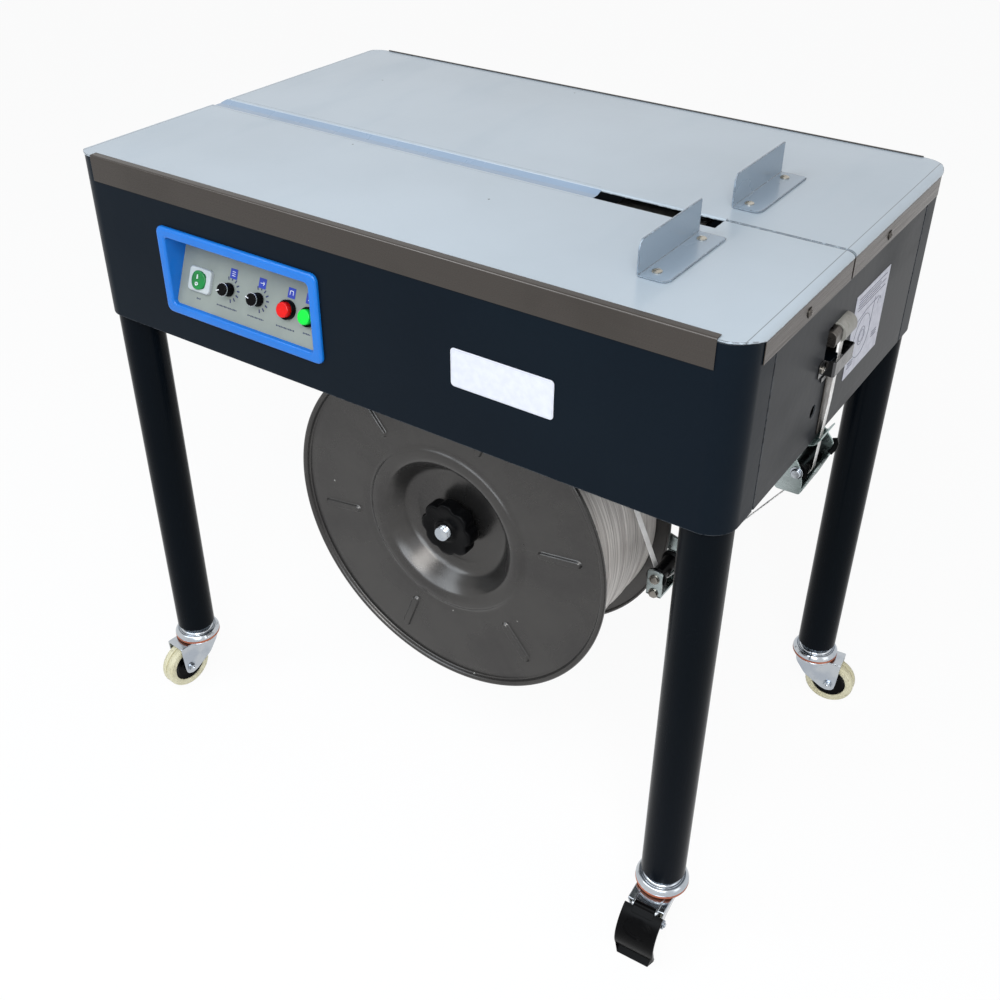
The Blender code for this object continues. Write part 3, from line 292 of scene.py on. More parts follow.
def cut_sheet(outer, holes, thickness, bevel=0.0004):
    """A flat plate with holes in the XY plane, its edges rounded, from thickness/2 below to above."""
    curve = bpy.data.curves.new("sheet", "CURVE")
    curve.dimensions = "2D"
    curve.fill_mode = "BOTH"
    curve.extrude = thickness / 2 - bevel
    curve.bevel_depth = bevel
    curve.bevel_resolution = 2
    curve.offset = -bevel
    for outline in [outer, *holes]:
        spline = curve.splines.new("POLY")
        spline.points.add(len(outline) - 1)
        flat = np.zeros((len(outline), 4))
        flat[:, :2] = outline
        flat[:, 3] = 1
        spline.points.foreach_set("co", flat.ravel())
        spline.use_cyclic_u = True
    helper = bpy.data.objects.new("sheet", curve)
    bpy.context.scene.collection.objects.link(helper)
    mesh = bpy.data.meshes.new_from_object(helper.evaluated_get(bpy.context.evaluated_depsgraph_get()))
    points = np.zeros(len(mesh.vertices) * 3)
    mesh.vertices.foreach_get("co", points)
    faces = [list(face.vertices) for face in mesh.polygons]
    bpy.data.objects.remove(helper)
    bpy.data.curves.remove(curve)
    bpy.data.meshes.remove(mesh)
    return points.reshape(-1, 3), faces


def show(name, shape, finish, body, replaces=(), smooth=38, weighted=True):
    """Makes a piece: merges doubles, turns faces outwards, shades it and ties it to its body."""
    points, faces = shape
    mesh = bpy.data.meshes.new(name)
    mesh.from_pydata((points + MIDDLE).tolist(), [], faces)
    mesh.validate()
    work = bmesh.new()
    work.from_mesh(mesh)
    bmesh.ops.remove_doubles(work, verts=work.verts, dist=2e-6)
    bmesh.ops.dissolve_degenerate(work, edges=work.edges, dist=1e-7)
    bmesh.ops.recalc_face_normals(work, faces=work.faces)
    work.to_mesh(mesh)
    work.free()
    mesh.shade_smooth()
    mesh.set_sharp_from_angle(angle=math.radians(smooth))
    piece = bpy.data.objects.new(name, mesh)
    bpy.context.scene.collection.objects.link(piece)
    mesh.materials.append(finish)
    if weighted:
        normals = piece.modifiers.new("weighted", "WEIGHTED_NORMAL")
        normals.keep_sharp = True
        normals.weight = 80
    if body:
        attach(piece, body)
    if replaces:
        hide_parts(*replaces)
    return piece


def thicken(piece, thickness, bevel=0.0004):
    """Gives a sheet its wall, inwards from its outer face, and rounds the wall's edges."""
    solid = piece.modifiers.new("wall", "SOLIDIFY")
    solid.thickness = thickness
    solid.offset = -1
    solid.use_even_offset = True
    rounding = piece.modifiers.new("edge", "BEVEL")
    rounding.width = bevel
    rounding.segments = 2
    rounding.limit_method = "ANGLE"
    rounding.angle_limit = math.radians(55)
    if piece.modifiers.get("weighted"):
        while piece.modifiers[-1].name != "weighted":
            piece.modifiers.move(piece.modifiers.find("weighted"), len(piece.modifiers) - 1)


# --- finishes -------------------------------------------------------------------------------


def node(tree, kind, inputs=(), **settings):
    """One shader node; an input that is a socket is linked, any other is a constant."""
    made = tree.nodes.new("ShaderNode" + kind)
    for key, value in settings.items():
        setattr(made, key, value)
    for key, value in dict(inputs).items():
        if isinstance(value, bpy.types.NodeSocket):
            tree.links.new(value, made.inputs[key])
        else:
            made.inputs[key].default_value = value
    return made


def coordinates(tree):
    return node(tree, "TexCoord").outputs["Object"]


def sum_of(tree, operation, first, second=0.0, third=0.0, clamp=False):
    return node(
        tree, "Math", {0: first, 1: second, 2: third}, operation=operation, use_clamp=clamp
    ).outputs[0]


def between(tree, value, low, high, start=0.0, end=1.0):
    """A value carried smoothly from low..high to start..end."""
    inputs = {"Value": value, "From Min": low, "From Max": high, "To Min": start, "To Max": end}
    return node(tree, "MapRange", inputs, interpolation_type="SMOOTHSTEP").outputs[0]


def mixed(tree, share, first, second):
    return node(tree, "Mix", {0: share, 6: first, 7: second}, data_type="RGBA").outputs[2]


def new_group(name, inputs, outputs):
    """An empty node group and its input and output sockets."""
    tree = bpy.data.node_groups.new(name, "ShaderNodeTree")
    for label, value in inputs.items():
        kind = "NodeSocketVector" if isinstance(value, tuple) else "NodeSocketFloat"
        tree.interface.new_socket(label, in_out="INPUT", socket_type=kind).default_value = value
    for label in outputs:
        tree.interface.new_socket(label, in_out="OUTPUT", socket_type="NodeSocketFloat")
    return tree, tree.nodes.new("NodeGroupInput").outputs, tree.nodes.new("NodeGroupOutput").inputs


def cloudy_group():
    """Soft patches: noise on object coordinates, stretched, kept between two levels."""
    tree, given, out = new_group(
        "soft_patches", {"Scale": 10.0, "Stretch": (1.0, 1.0, 1.0), "Low": 0.4, "High": 0.6, "Detail": 3.0},
        ["Mask"]
    )
    place = coordinates(tree)
    stretched = node(tree, "VectorMath", {0: place, 1: given["Stretch"]}, operation="MULTIPLY").outputs[0]
    noise = node(tree, "TexNoise", {"Vector": stretched, "Scale": given["Scale"], "Detail": given["Detail"]})
    tree.links.new(between(tree, noise.outputs[0], given["Low"], given["High"]), out["Mask"])
    return tree


def speck_group():
    """Chips and dust: cells of a Voronoi pattern whose random value is high, near their centres."""
    tree, given, out = new_group("specks", {"Scale": 60.0, "Size": 0.12, "Rarity": 0.9}, ["Mask"])
    place = coordinates(tree)
    wobble = node(tree, "TexNoise", {"Vector": place, "Scale": 900.0, "Detail": 2.0}).outputs["Color"]
    shaken = node(
        tree, "VectorMath", {0: wobble, 1: (0.003, 0.003, 0.003), 2: place}, operation="MULTIPLY_ADD"
    )
    cells = node(tree, "TexVoronoi", {"Vector": shaken.outputs[0], "Scale": given["Scale"]})
    value = node(tree, "SeparateColor", {0: cells.outputs["Color"]}).outputs[0]
    chosen = sum_of(tree, "GREATER_THAN", value, given["Rarity"])
    near = sum_of(tree, "LESS_THAN", cells.outputs["Distance"], given["Size"])
    tree.links.new(sum_of(tree, "MULTIPLY", chosen, near), out["Mask"])
    return tree


def edge_group():
    """Worn edges: where the bevelled normal leans away from the surface's own, broken by noise."""
    tree, given, out = new_group("worn_edges", {"Width": 0.001, "Amount": 1.0, "Patchiness": 0.5}, ["Mask"])
    soft = node(tree, "Bevel", {"Radius": given["Width"]}, samples=4).outputs[0]
    own = node(tree, "NewGeometry").outputs["Normal"]
    lean = node(tree, "VectorMath", {0: soft, 1: own}, operation="DOT_PRODUCT").outputs["Value"]
    edge = between(tree, sum_of(tree, "SUBTRACT", 1.0, lean), 0.01, 0.06)
    place = coordinates(tree)
    noise = node(tree, "TexNoise", {"Vector": place, "Scale": 160.0, "Detail": 4.0}).outputs[0]
    broken = between(tree, noise, given["Patchiness"], sum_of(tree, "ADD", given["Patchiness"], 0.05))
    share = sum_of(tree, "MULTIPLY", edge, broken)
    tree.links.new(sum_of(tree, "MULTIPLY", share, given["Amount"], clamp=True), out["Mask"])
    return tree


def peel_group():
    """The skin of sprayed paint: a fine noise over a coarser one, as a height."""
    tree, given, out = new_group("paint_skin", {"Scale": 400.0}, ["Height"])
    place = coordinates(tree)
    fine = node(tree, "TexNoise", {"Vector": place, "Scale": given["Scale"], "Detail": 1.0}).outputs[0]
    coarse_scale = sum_of(tree, "MULTIPLY", given["Scale"], 0.22)
    coarse = node(tree, "TexNoise", {"Vector": place, "Scale": coarse_scale, "Detail": 0.0}).outputs[0]
    tree.links.new(sum_of(tree, "MULTIPLY_ADD", coarse, 1.5, fine), out["Height"])
    return tree


def brushed_group():
    """Grinding lines: noise squeezed hard along one direction, at two scales."""
    tree, given, out = new_group("brushed_lines", {"Along": (1.0, 1.0, 1.0), "Scale": 900.0}, ["Lines"])
    place = coordinates(tree)
    squeezed = node(tree, "VectorMath", {0: place, 1: given["Along"]}, operation="MULTIPLY").outputs[0]
    fine = node(tree, "TexNoise", {"Vector": squeezed, "Scale": given["Scale"], "Detail": 3.0}).outputs[0]
    wide_scale = sum_of(tree, "MULTIPLY", given["Scale"], 0.25)
    wide = node(tree, "TexNoise", {"Vector": squeezed, "Scale": wide_scale, "Detail": 1.0}).outputs[0]
    tree.links.new(sum_of(tree, "MULTIPLY_ADD", wide, 0.5, sum_of(tree, "MULTIPLY", fine, 0.5)), out["Lines"])
    return tree


def round_group():
    """Polar coordinates about an axis along Y through a point: distance from it and share of a turn."""
    tree, given, out = new_group("about_axis", {"Centre": (0.0, 0.0, 0.0)}, ["Radius", "Turn", "Height"])
    place = coordinates(tree)
    apart = node(tree, "VectorMath", {0: place, 1: given["Centre"]}, operation="SUBTRACT").outputs[0]
    parts = node(tree, "SeparateXYZ", {0: apart}).outputs
    squared = sum_of(tree, "MULTIPLY_ADD", parts[0], parts[0], sum_of(tree, "MULTIPLY", parts[2], parts[2]))
    tree.links.new(sum_of(tree, "SQRT", squared), out["Radius"])
    angle = sum_of(tree, "ARCTAN2", parts[2], parts[0])
    tree.links.new(sum_of(tree, "DIVIDE", angle, 2 * math.pi), out["Turn"])
    tree.links.new(parts[1], out["Height"])
    return tree


GROUPS = {
    "patches": cloudy_group(), "specks": speck_group(), "edges": edge_group(),
    "skin": peel_group(), "brushed": brushed_group(), "round": round_group(),
}


def use(tree, group, **inputs):
    """A placed node group; inputs are given with spaces as in its sockets."""
    made = tree.nodes.new("ShaderNodeGroup")
    made.node_tree = GROUPS[group]
    for key, value in inputs.items():
        made.inputs[key].default_value = value
    return made.outputs


def rgb(red, green, blue):
    """A colour given as it shows on a screen, 0 to 255, made linear."""
    share = np.array([red, green, blue]) / 255
    linear = np.where(share <= 0.04045, share / 12.92, ((share + 0.055) / 1.055) ** 2.4)
    return (*linear.tolist(), 1.0)


def complete(
    shader, tree, colour, rough, height=None, strength=0.2, distance=0.0003, metallic=0.0, **constants
):
    """Links or sets what a Principled shader needs."""
    values = {"Base Color": colour, "Roughness": rough, "Metallic": metallic, **constants}
    for key, value in values.items():
        if isinstance(value, bpy.types.NodeSocket):
            tree.links.new(value, shader.inputs[key])
        else:
            shader.inputs[key].default_value = value
    if height is not None:
        bump = node(tree, "Bump", {"Height": height, "Strength": strength, "Distance": distance})
        tree.links.new(bump.outputs[0], shader.inputs["Normal"])


def new_material(name):
    made = bpy.data.materials.new(name)
    made.use_nodes = True
    return made, made.node_tree, made.node_tree.nodes["Principled BSDF"]


def sprayed(
    name, colour, shade, chip, rough=0.3, worn=1.0, speck_size=0.1, rarity=0.985, line=None, skin=0.12,
    coat=0.25, specular=0.5, patchy=0.4, speck_scale=70.0,
):
    """Gloss paint on sheet steel: a slow drift of colour, its skin, smears, chips and worn edges.

    line is how far from the middle, in X, a thin line crosses the piece: a dent in the bump, and painted
    shade in the chip colour for the shade in a crease.
    """
    made, tree, shader = new_material(name)
    drift = use(tree, "patches", Scale=3.0, Low=0.3, High=0.7, Detail=4.0)["Mask"]
    base = mixed(tree, drift, colour, shade)
    smear = use(
        tree, "patches", Scale=14.0, Stretch=(1.0, 0.25, 0.6), Low=0.45, High=0.75, Detail=6.0
    )["Mask"]
    rough_value = between(tree, smear, 0.0, 1.0, rough, rough + 0.1)
    chips = use(tree, "specks", Scale=speck_scale, Size=speck_size, Rarity=rarity)["Mask"]
    edges = use(tree, "edges", Width=0.0018, Amount=worn, Patchiness=patchy)["Mask"]
    damage = sum_of(tree, "MAXIMUM", chips, edges)
    # Painted shade: a thin line in the chip colour, for the shade in a crease across the piece.
    if line is not None:
        across = node(tree, "SeparateXYZ", {0: coordinates(tree)}).outputs[0]
        apart = sum_of(tree, "ABSOLUTE", sum_of(tree, "SUBTRACT", across, float(MIDDLE[0])))
        near = sum_of(tree, "ABSOLUTE", sum_of(tree, "SUBTRACT", apart, line))
        crease_shade = between(tree, near, 0.0002, 0.0007, 0.75, 0.0)
        damage = sum_of(tree, "MAXIMUM", damage, crease_shade)
    coloured = mixed(tree, damage, base, chip)
    skin_height = use(tree, "skin", Scale=420.0)["Height"]
    height = sum_of(tree, "SUBTRACT", skin_height, sum_of(tree, "MULTIPLY", damage, 0.8))
    constants = {"Coat Weight": coat, "Coat Roughness": 0.12, "Specular IOR Level": specular}
    complete(shader, tree, coloured, rough_value, height, skin, 0.0004, **constants)
    return made


def brushed_steel(name, colour, dull, along, rough=0.32):
    """Brushed sheet steel: lines along one direction vary its roughness, colour and bump."""
    made, tree, shader = new_material(name)
    lines = use(tree, "brushed", Along=along, Scale=2600.0)["Lines"]
    stains = use(tree, "patches", Scale=9.0, Low=0.5, High=0.85, Detail=5.0)["Mask"]
    base = mixed(tree, sum_of(tree, "MULTIPLY", stains, 0.5), colour, dull)
    lined = mixed(tree, between(tree, lines, 0.35, 0.65, 0.0, 0.12), base, dull)
    rough_value = between(tree, lines, 0.3, 0.7, rough - 0.06, rough + 0.12)
    complete(shader, tree, lined, rough_value, lines, 0.12, 0.0002, 1.0)
    return made


def plated(name, colour, tint, dull, rough=0.22, cloud=60.0):
    """Zinc or nickel plate: a cloudy passivated tint, small dull marks and fine scratches."""
    made, tree, shader = new_material(name)
    tinted = use(tree, "patches", Scale=cloud, Low=0.35, High=0.65, Detail=3.0)["Mask"]
    marks = use(tree, "patches", Scale=420.0, Low=0.6, High=0.85, Detail=3.0)["Mask"]
    scratches = use(tree, "brushed", Along=(0.15, 1.0, 0.7), Scale=500.0)["Lines"]
    base = mixed(tree, marks, mixed(tree, tinted, colour, tint), dull)
    rough_value = sum_of(
        tree, "MULTIPLY_ADD", marks, 0.18, between(tree, scratches, 0.3, 0.7, rough - 0.05, rough + 0.1)
    )
    complete(shader, tree, base, rough_value, scratches, 0.08, 0.0002, 1.0)
    return made


def moulded(name, colour, shade, rough=0.4, grain=900.0, strength=0.12, dust=None, **constants):
    """Moulded plastic or rubber: fine grain, slightly uneven colour and gloss, optional dust."""
    made, tree, shader = new_material(name)
    uneven = use(tree, "patches", Scale=25.0, Low=0.35, High=0.65, Detail=3.0)["Mask"]
    base = mixed(tree, uneven, colour, shade)
    if dust is not None:
        settled = use(tree, "patches", Scale=180.0, Low=0.52, High=0.72, Detail=6.0)["Mask"]
        base = mixed(tree, sum_of(tree, "MULTIPLY", settled, 0.5), base, dust)
    rough_value = between(tree, uneven, 0.0, 1.0, rough - 0.04, rough + 0.06)
    height = use(tree, "skin", Scale=grain)["Height"]
    complete(shader, tree, base, rough_value, height, strength, 0.0002, **constants)
    return made


def reel_paint(centre):
    """Grey metallic paint: a fine sparkle, faint radial wiping marks and a few pale specks."""
    made, tree, shader = new_material("reel_grey")
    polar = use(tree, "round", Centre=tuple(centre))
    spokes = node(tree, "CombineXYZ", {0: sum_of(tree, "MULTIPLY", polar["Turn"], 60.0),
                                       1: sum_of(tree, "MULTIPLY", polar["Radius"], 9.0)}).outputs[0]
    wiped = node(tree, "TexNoise", {"Vector": spokes, "Scale": 1.3, "Detail": 4.0}).outputs[0]
    sparkle = use(tree, "patches", Scale=1500.0, Low=0.4, High=0.62, Detail=2.0)["Mask"]
    cloudy = use(tree, "patches", Scale=9.0, Low=0.35, High=0.7, Detail=5.0)["Mask"]
    base = mixed(tree, cloudy, rgb(70, 69, 68), rgb(61, 60, 60))
    base = mixed(tree, between(tree, wiped, 0.45, 0.7, 0.0, 0.12), base, rgb(80, 79, 77))
    base = mixed(tree, sum_of(tree, "MULTIPLY", sparkle, 0.35), base, rgb(93, 91, 89))
    marks = use(tree, "specks", Scale=90.0, Size=0.09, Rarity=0.985)["Mask"]
    base = mixed(tree, marks, base, rgb(178, 178, 175))
    rough_value = between(tree, cloudy, 0.0, 1.0, 0.25, 0.31)
    height = use(tree, "skin", Scale=900.0)["Height"]
    complete(shader, tree, base, rough_value, height, 0.05, 0.0002, 0.85, **{"Specular IOR Level": 0.3})
    return made


def wound_strap(centre):
    """Polypropylene strap: milky, faintly embossed, with thin darker lines of painted shade for the seams
    where turns lie side by side.
    """
    made, tree, shader = new_material("wound_strap")
    polar = use(tree, "round", Centre=tuple(centre))
    wrapped = node(tree, "CombineXYZ", {0: sum_of(tree, "MULTIPLY", polar["Turn"], 3.0),
                                        1: sum_of(tree, "MULTIPLY", polar["Height"], 140.0),
                                        2: sum_of(tree, "MULTIPLY", polar["Radius"], 140.0)}).outputs[0]
    streaks = node(tree, "TexNoise", {"Vector": wrapped, "Scale": 3.0, "Detail": 4.0}).outputs[0]
    base = mixed(tree, between(tree, streaks, 0.38, 0.66), rgb(192, 186, 180), rgb(160, 153, 148))
    # Painted shade: thin darker streaks for the shade in the seams between turns.
    thin = mixed(tree, between(tree, streaks, 0.6, 0.66, 0.0, 0.5), base, rgb(124, 117, 113))
    rough_value = between(tree, streaks, 0.3, 0.7, 0.38, 0.55)
    complete(shader, tree, thin, rough_value, streaks, 0.25, 0.0006)
    return made


def strap_plastic():
    """The single strap: milky plastic with a faint cross-hatched emboss."""
    made, tree, shader = new_material("strap_plastic")
    place = coordinates(tree)
    hatch = node(
        tree, "TexVoronoi", {"Vector": place, "Scale": 650.0}, distance="CHEBYCHEV"
    ).outputs["Distance"]
    uneven = use(tree, "patches", Scale=40.0, Low=0.35, High=0.7)["Mask"]
    base = mixed(tree, uneven, rgb(236, 233, 230), rgb(214, 210, 206))
    complete(shader, tree, base, between(tree, uneven, 0.0, 1.0, 0.36, 0.5), hatch, 0.2, 0.0002)
    return made


def painted(name, low, high, colour, mark, rough=0.45):
    """Ink or a printed face: nearly even, with a slightly mottled tone."""
    made, tree, shader = new_material(name)
    uneven = use(tree, "patches", Scale=120.0, Low=low, High=high)["Mask"]
    complete(
        shader, tree, mixed(tree, uneven, colour, mark),
        between(tree, uneven, 0.0, 1.0, rough, rough + 0.08)
    )
    return made


# --- places that the pieces share -----------------------------------------------------------

REEL_AT, _ = joint_place("reel_spin")
REEL = (REEL_AT[0], REEL_AT[2])
DANCER_AT, _ = joint_place("dancer_lift")
DANCER_ROLLER_AT, _ = joint_place("dancer_roller_spin")
SIDE_ROLLER_AT, _ = joint_place("side_roller_spin")
PLATE_AT, PLATE_OUT = joint_place("seal_knob_turn")
PLATE_UP = np.array([0.0, PLATE_OUT[2], -PLATE_OUT[1]])
STRAP_Y = corners("strap_entry_block")[0][1] / 2 + corners("strap_entry_block")[1][1] / 2


def on_plate(shape):
    """Stands a shape built flat on the tilted control plate: x along it, y up from the row, z out."""
    points, faces = shape
    at = np.array([0.0, PLATE_AT[1], PLATE_AT[2]])
    return at + points @ np.array([[1.0, 0.0, 0.0], PLATE_UP, PLATE_OUT]), faces


# --- materials of this machine --------------------------------------------------------------

# Painted shade: the stops' paint is darkened to the tone their uprights take in shade; their base flanges
# share it.
STOP_SHADE_PAINT = sprayed(
    "stop_shade_paint", rgb(142, 157, 171), rgb(132, 147, 161), rgb(46, 48, 52), 0.24, 0.9, 0.11, 0.955,
    patchy=0.36, speck_scale=150.0
)
# Painted shade: the strap channel's floor is painted darker and bluer than the table, for the shade in a deep
# channel.
CHANNEL_SHADE_PAINT = sprayed(
    "channel_shade_paint", rgb(138, 157, 178), rgb(126, 145, 167), rgb(58, 62, 68), 0.26, 0.0, 0.08, 0.995
)
# Painted shade: a darker grey-blue for thin lines on the table, for the shade in the plates' creases.
CREASE_SHADE = painted("crease_shade_line", 0.3, 0.7, rgb(112, 120, 130), rgb(146, 155, 165), 0.5)
# Painted shade: line draws a thin dark line near each end of the table, for the shade in the crease where the
# flat meets the bullnose.
PALE = sprayed(
    "pale_paint", rgb(172, 183, 192), rgb(163, 174, 183), rgb(52, 54, 58), 0.3, 1.0, 0.085, 0.978,
    PLATE_END - 0.0102
)
DARK = sprayed(
    "dark_paint", rgb(11, 19, 27), rgb(13, 22, 30), rgb(120, 124, 128), 0.34, 0.35, 0.045, 0.992, coat=0.0,
    specular=0.05
)
# Painted reflection: the side panels carry the cabinet's dark paint; this lighter grey copy stands for the
# bright reflection they show at a grazing angle.
SIDE_REFLECTION_PAINT = sprayed(
    "side_reflection_paint", rgb(50, 51, 53), rgb(54, 55, 57), rgb(120, 124, 128), 0.3, 0.35, 0.045, 0.992, coat=0.0,
    specular=0.03
)
LEG_PAINT = sprayed(
    "leg_paint", rgb(6, 11, 16), rgb(8, 13, 19), rgb(90, 94, 98), 0.22, 0.25, 0.03, 0.995,
    skin=0.05, coat=0.0, specular=0.04,
)
TRIM_X = brushed_steel("brushed_along_x", rgb(82, 78, 75), rgb(67, 64, 61), (0.01, 1.0, 1.0), 0.26)
TRIM_Y = brushed_steel("brushed_along_y", rgb(78, 72, 68), rgb(64, 59, 55), (1.0, 0.01, 1.0), 0.28)
ZINC = plated("bright_zinc", rgb(166, 176, 176), rgb(152, 168, 166), rgb(140, 150, 150), 0.24, 16.0)
CASTER_ZINC = plated("caster_zinc", rgb(186, 191, 196), rgb(168, 175, 184), rgb(150, 155, 160), 0.16, 30.0)
STEEL = plated("plain_steel", rgb(140, 136, 130), rgb(124, 120, 114), rgb(104, 100, 95), 0.2, 20.0)
# Painted shade: near-black for the sheet and strips inside the cabinet and for the rings round the side
# strips' screws, standing for the shade in the holes, the seams and under the screw heads.
SHADE_BLACK = painted("painted_shade_black", 0.3, 0.7, rgb(14, 14, 15), rgb(20, 20, 21), 0.7)
CLIP_STEEL = plated("clip_steel", rgb(92, 92, 93), rgb(80, 80, 82), rgb(60, 60, 61), 0.16, 20.0)
SCREW = plated("screw_steel", rgb(190, 186, 176), rgb(168, 163, 152), rgb(104, 99, 90), 0.26, 40.0)
DULL_STEEL = plated("dull_steel", rgb(92, 88, 84), rgb(80, 77, 74), rgb(60, 58, 56), 0.28, 20.0)
TYRE = moulded("cream_tyre", rgb(214, 208, 178), rgb(200, 193, 160), 0.42, 700.0, 0.1, rgb(150, 140, 112))
BLACK = moulded(
    "black_plastic", rgb(4, 4, 5), rgb(7, 7, 8), 0.26, 1100.0, 0.1, **{"Specular IOR Level": 0.06}
)
RUBBER = moulded(
    "black_rubber", rgb(14, 14, 15), rgb(20, 20, 21), 0.58, 700.0, 0.25, rgb(50, 48, 45),
    **{"Specular IOR Level": 0.2}
)
BLUE = moulded(
    "blue_plastic", rgb(14, 106, 192), rgb(13, 103, 188), 0.2, 1500.0, 0.02, **{"Specular IOR Level": 0.35}
)
PLATE_GREY = moulded(
    "grey_plate", rgb(132, 138, 132), rgb(126, 132, 127), 0.42, 900.0, 0.08, **{"Specular IOR Level": 0.3}
)
HOUSING = moulded("pale_plastic", rgb(176, 181, 182), rgb(166, 172, 173), 0.34, 1300.0, 0.06)
GREEN = moulded(
    "green_lens", rgb(0, 120, 52), rgb(0, 98, 42), 0.14, 300.0, 0.03, **{"Specular IOR Level": 0.4}
)
LIME = moulded(
    "green_cap", rgb(10, 208, 60), rgb(8, 196, 54), 0.26, 900.0, 0.05, **{"Specular IOR Level": 0.25}
)
RED = moulded(
    "red_cap", rgb(206, 16, 14), rgb(190, 12, 10), 0.26, 900.0, 0.05, **{"Specular IOR Level": 0.25}
)
NAVY_INK = painted("navy_ink", 0.4, 0.6, rgb(24, 48, 150), rgb(28, 54, 158))
TICK_INK = painted("tick_ink", 0.4, 0.6, rgb(22, 30, 74), rgb(28, 36, 84))
DARK_INK = painted("dark_ink", 0.4, 0.6, rgb(36, 44, 70), rgb(44, 52, 78))
WHITE_INK = painted("white_ink", 0.4, 0.6, rgb(226, 228, 230), rgb(214, 216, 220))
LABEL = painted("label_face", 0.3, 0.7, rgb(206, 207, 213), rgb(199, 200, 208), 0.3)
PAPER = painted("paper", 0.3, 0.7, rgb(196, 196, 205), rgb(184, 184, 194), 0.5)
SEAL = moulded("orange_seal", rgb(176, 96, 62), rgb(150, 78, 50), 0.5, 700.0, 0.1, rgb(120, 84, 66))
ENTRY = moulded("entry_nylon", rgb(150, 148, 141), rgb(126, 124, 118), 0.4, 800.0, 0.12, rgb(110, 106, 98))
REEL_FINISH = reel_paint(MIDDLE + REEL_AT)
COIL = wound_strap(MIDDLE + REEL_AT)
STRAP = strap_plastic()


# --- table ----------------------------------------------------------------------------------

BULLNOSE_RUN, BULLNOSE_DROP = 0.0098, 0.0065
CHANNEL_DROP = 0.0045
SPLIT_Y = WINDOW_Y[1] - 0.0042


def bullnose(x):
    """The drop of the table's skin at its two ends: a quarter ellipse over the last run of its length."""
    share = np.clip((np.abs(x) - (PLATE_END - BULLNOSE_RUN)) / BULLNOSE_RUN, 0, 1)
    return BULLNOSE_DROP * (1 - np.sqrt(1 - share**2))


def stations(low, high):
    """Places along X: even, and closer where the skin rounds over and where its corners are."""
    end = PLATE_END - BULLNOSE_RUN + BULLNOSE_RUN * np.sin(np.radians(np.linspace(0, 90, 17)))
    corner = np.linspace(PLATE_END - CORNER_R, PLATE_END - BULLNOSE_RUN, 6)
    every = np.concatenate(
        [-end, -corner, np.linspace(-PLATE_END + CORNER_R, PLATE_END - CORNER_R, 60), corner, end]
    )
    every = np.unique(np.round(np.concatenate([every, [low, high]]), 7))
    return every[(every >= low - 1e-9) & (every <= high + 1e-9)]


def plate_patch(x_low, x_high, profile, side):
    """Part of a table plate: a profile of (y, drop) carried along X.

    The long edge at side * HALF_Y pulls in round the plan corners: its y is the corner's centre
    plus the root of R squared less the square of the distance past that centre. Each point's
    height is the table's less the larger of its own drop and the bullnose.
    """
    x = stations(x_low, x_high)[:, None]
    past = np.maximum(np.abs(x) - (PLATE_END - CORNER_R), 0)
    limit = HALF_Y - CORNER_R + np.sqrt(np.maximum(CORNER_R**2 - past**2, 0))
    y, drop = np.array(profile, float).T
    y = np.broadcast_to(y[None, :], (len(x), len(y)))
    y = np.where(side < 0, np.maximum(y, -limit), np.minimum(y, limit))
    height = TABLE_TOP - np.maximum(drop[None, :], bullnose(x))
    return grid(np.stack([np.broadcast_to(x, y.shape), y, height], -1))


def edge_rows(start, end, count=10):
    return [(y, 0.0) for y in np.linspace(start, end, count)]


def folded_down(y, side, depth, radius=0.0016):
    """A fold at y from the flat, down to depth, the flat on its side of y."""
    turn = np.radians(np.linspace(0, 90, 6))
    rows = [(y + side * radius * (1 - math.sin(a)), radius * (1 - math.cos(a))) for a in turn]
    return rows + [(y, depth)]


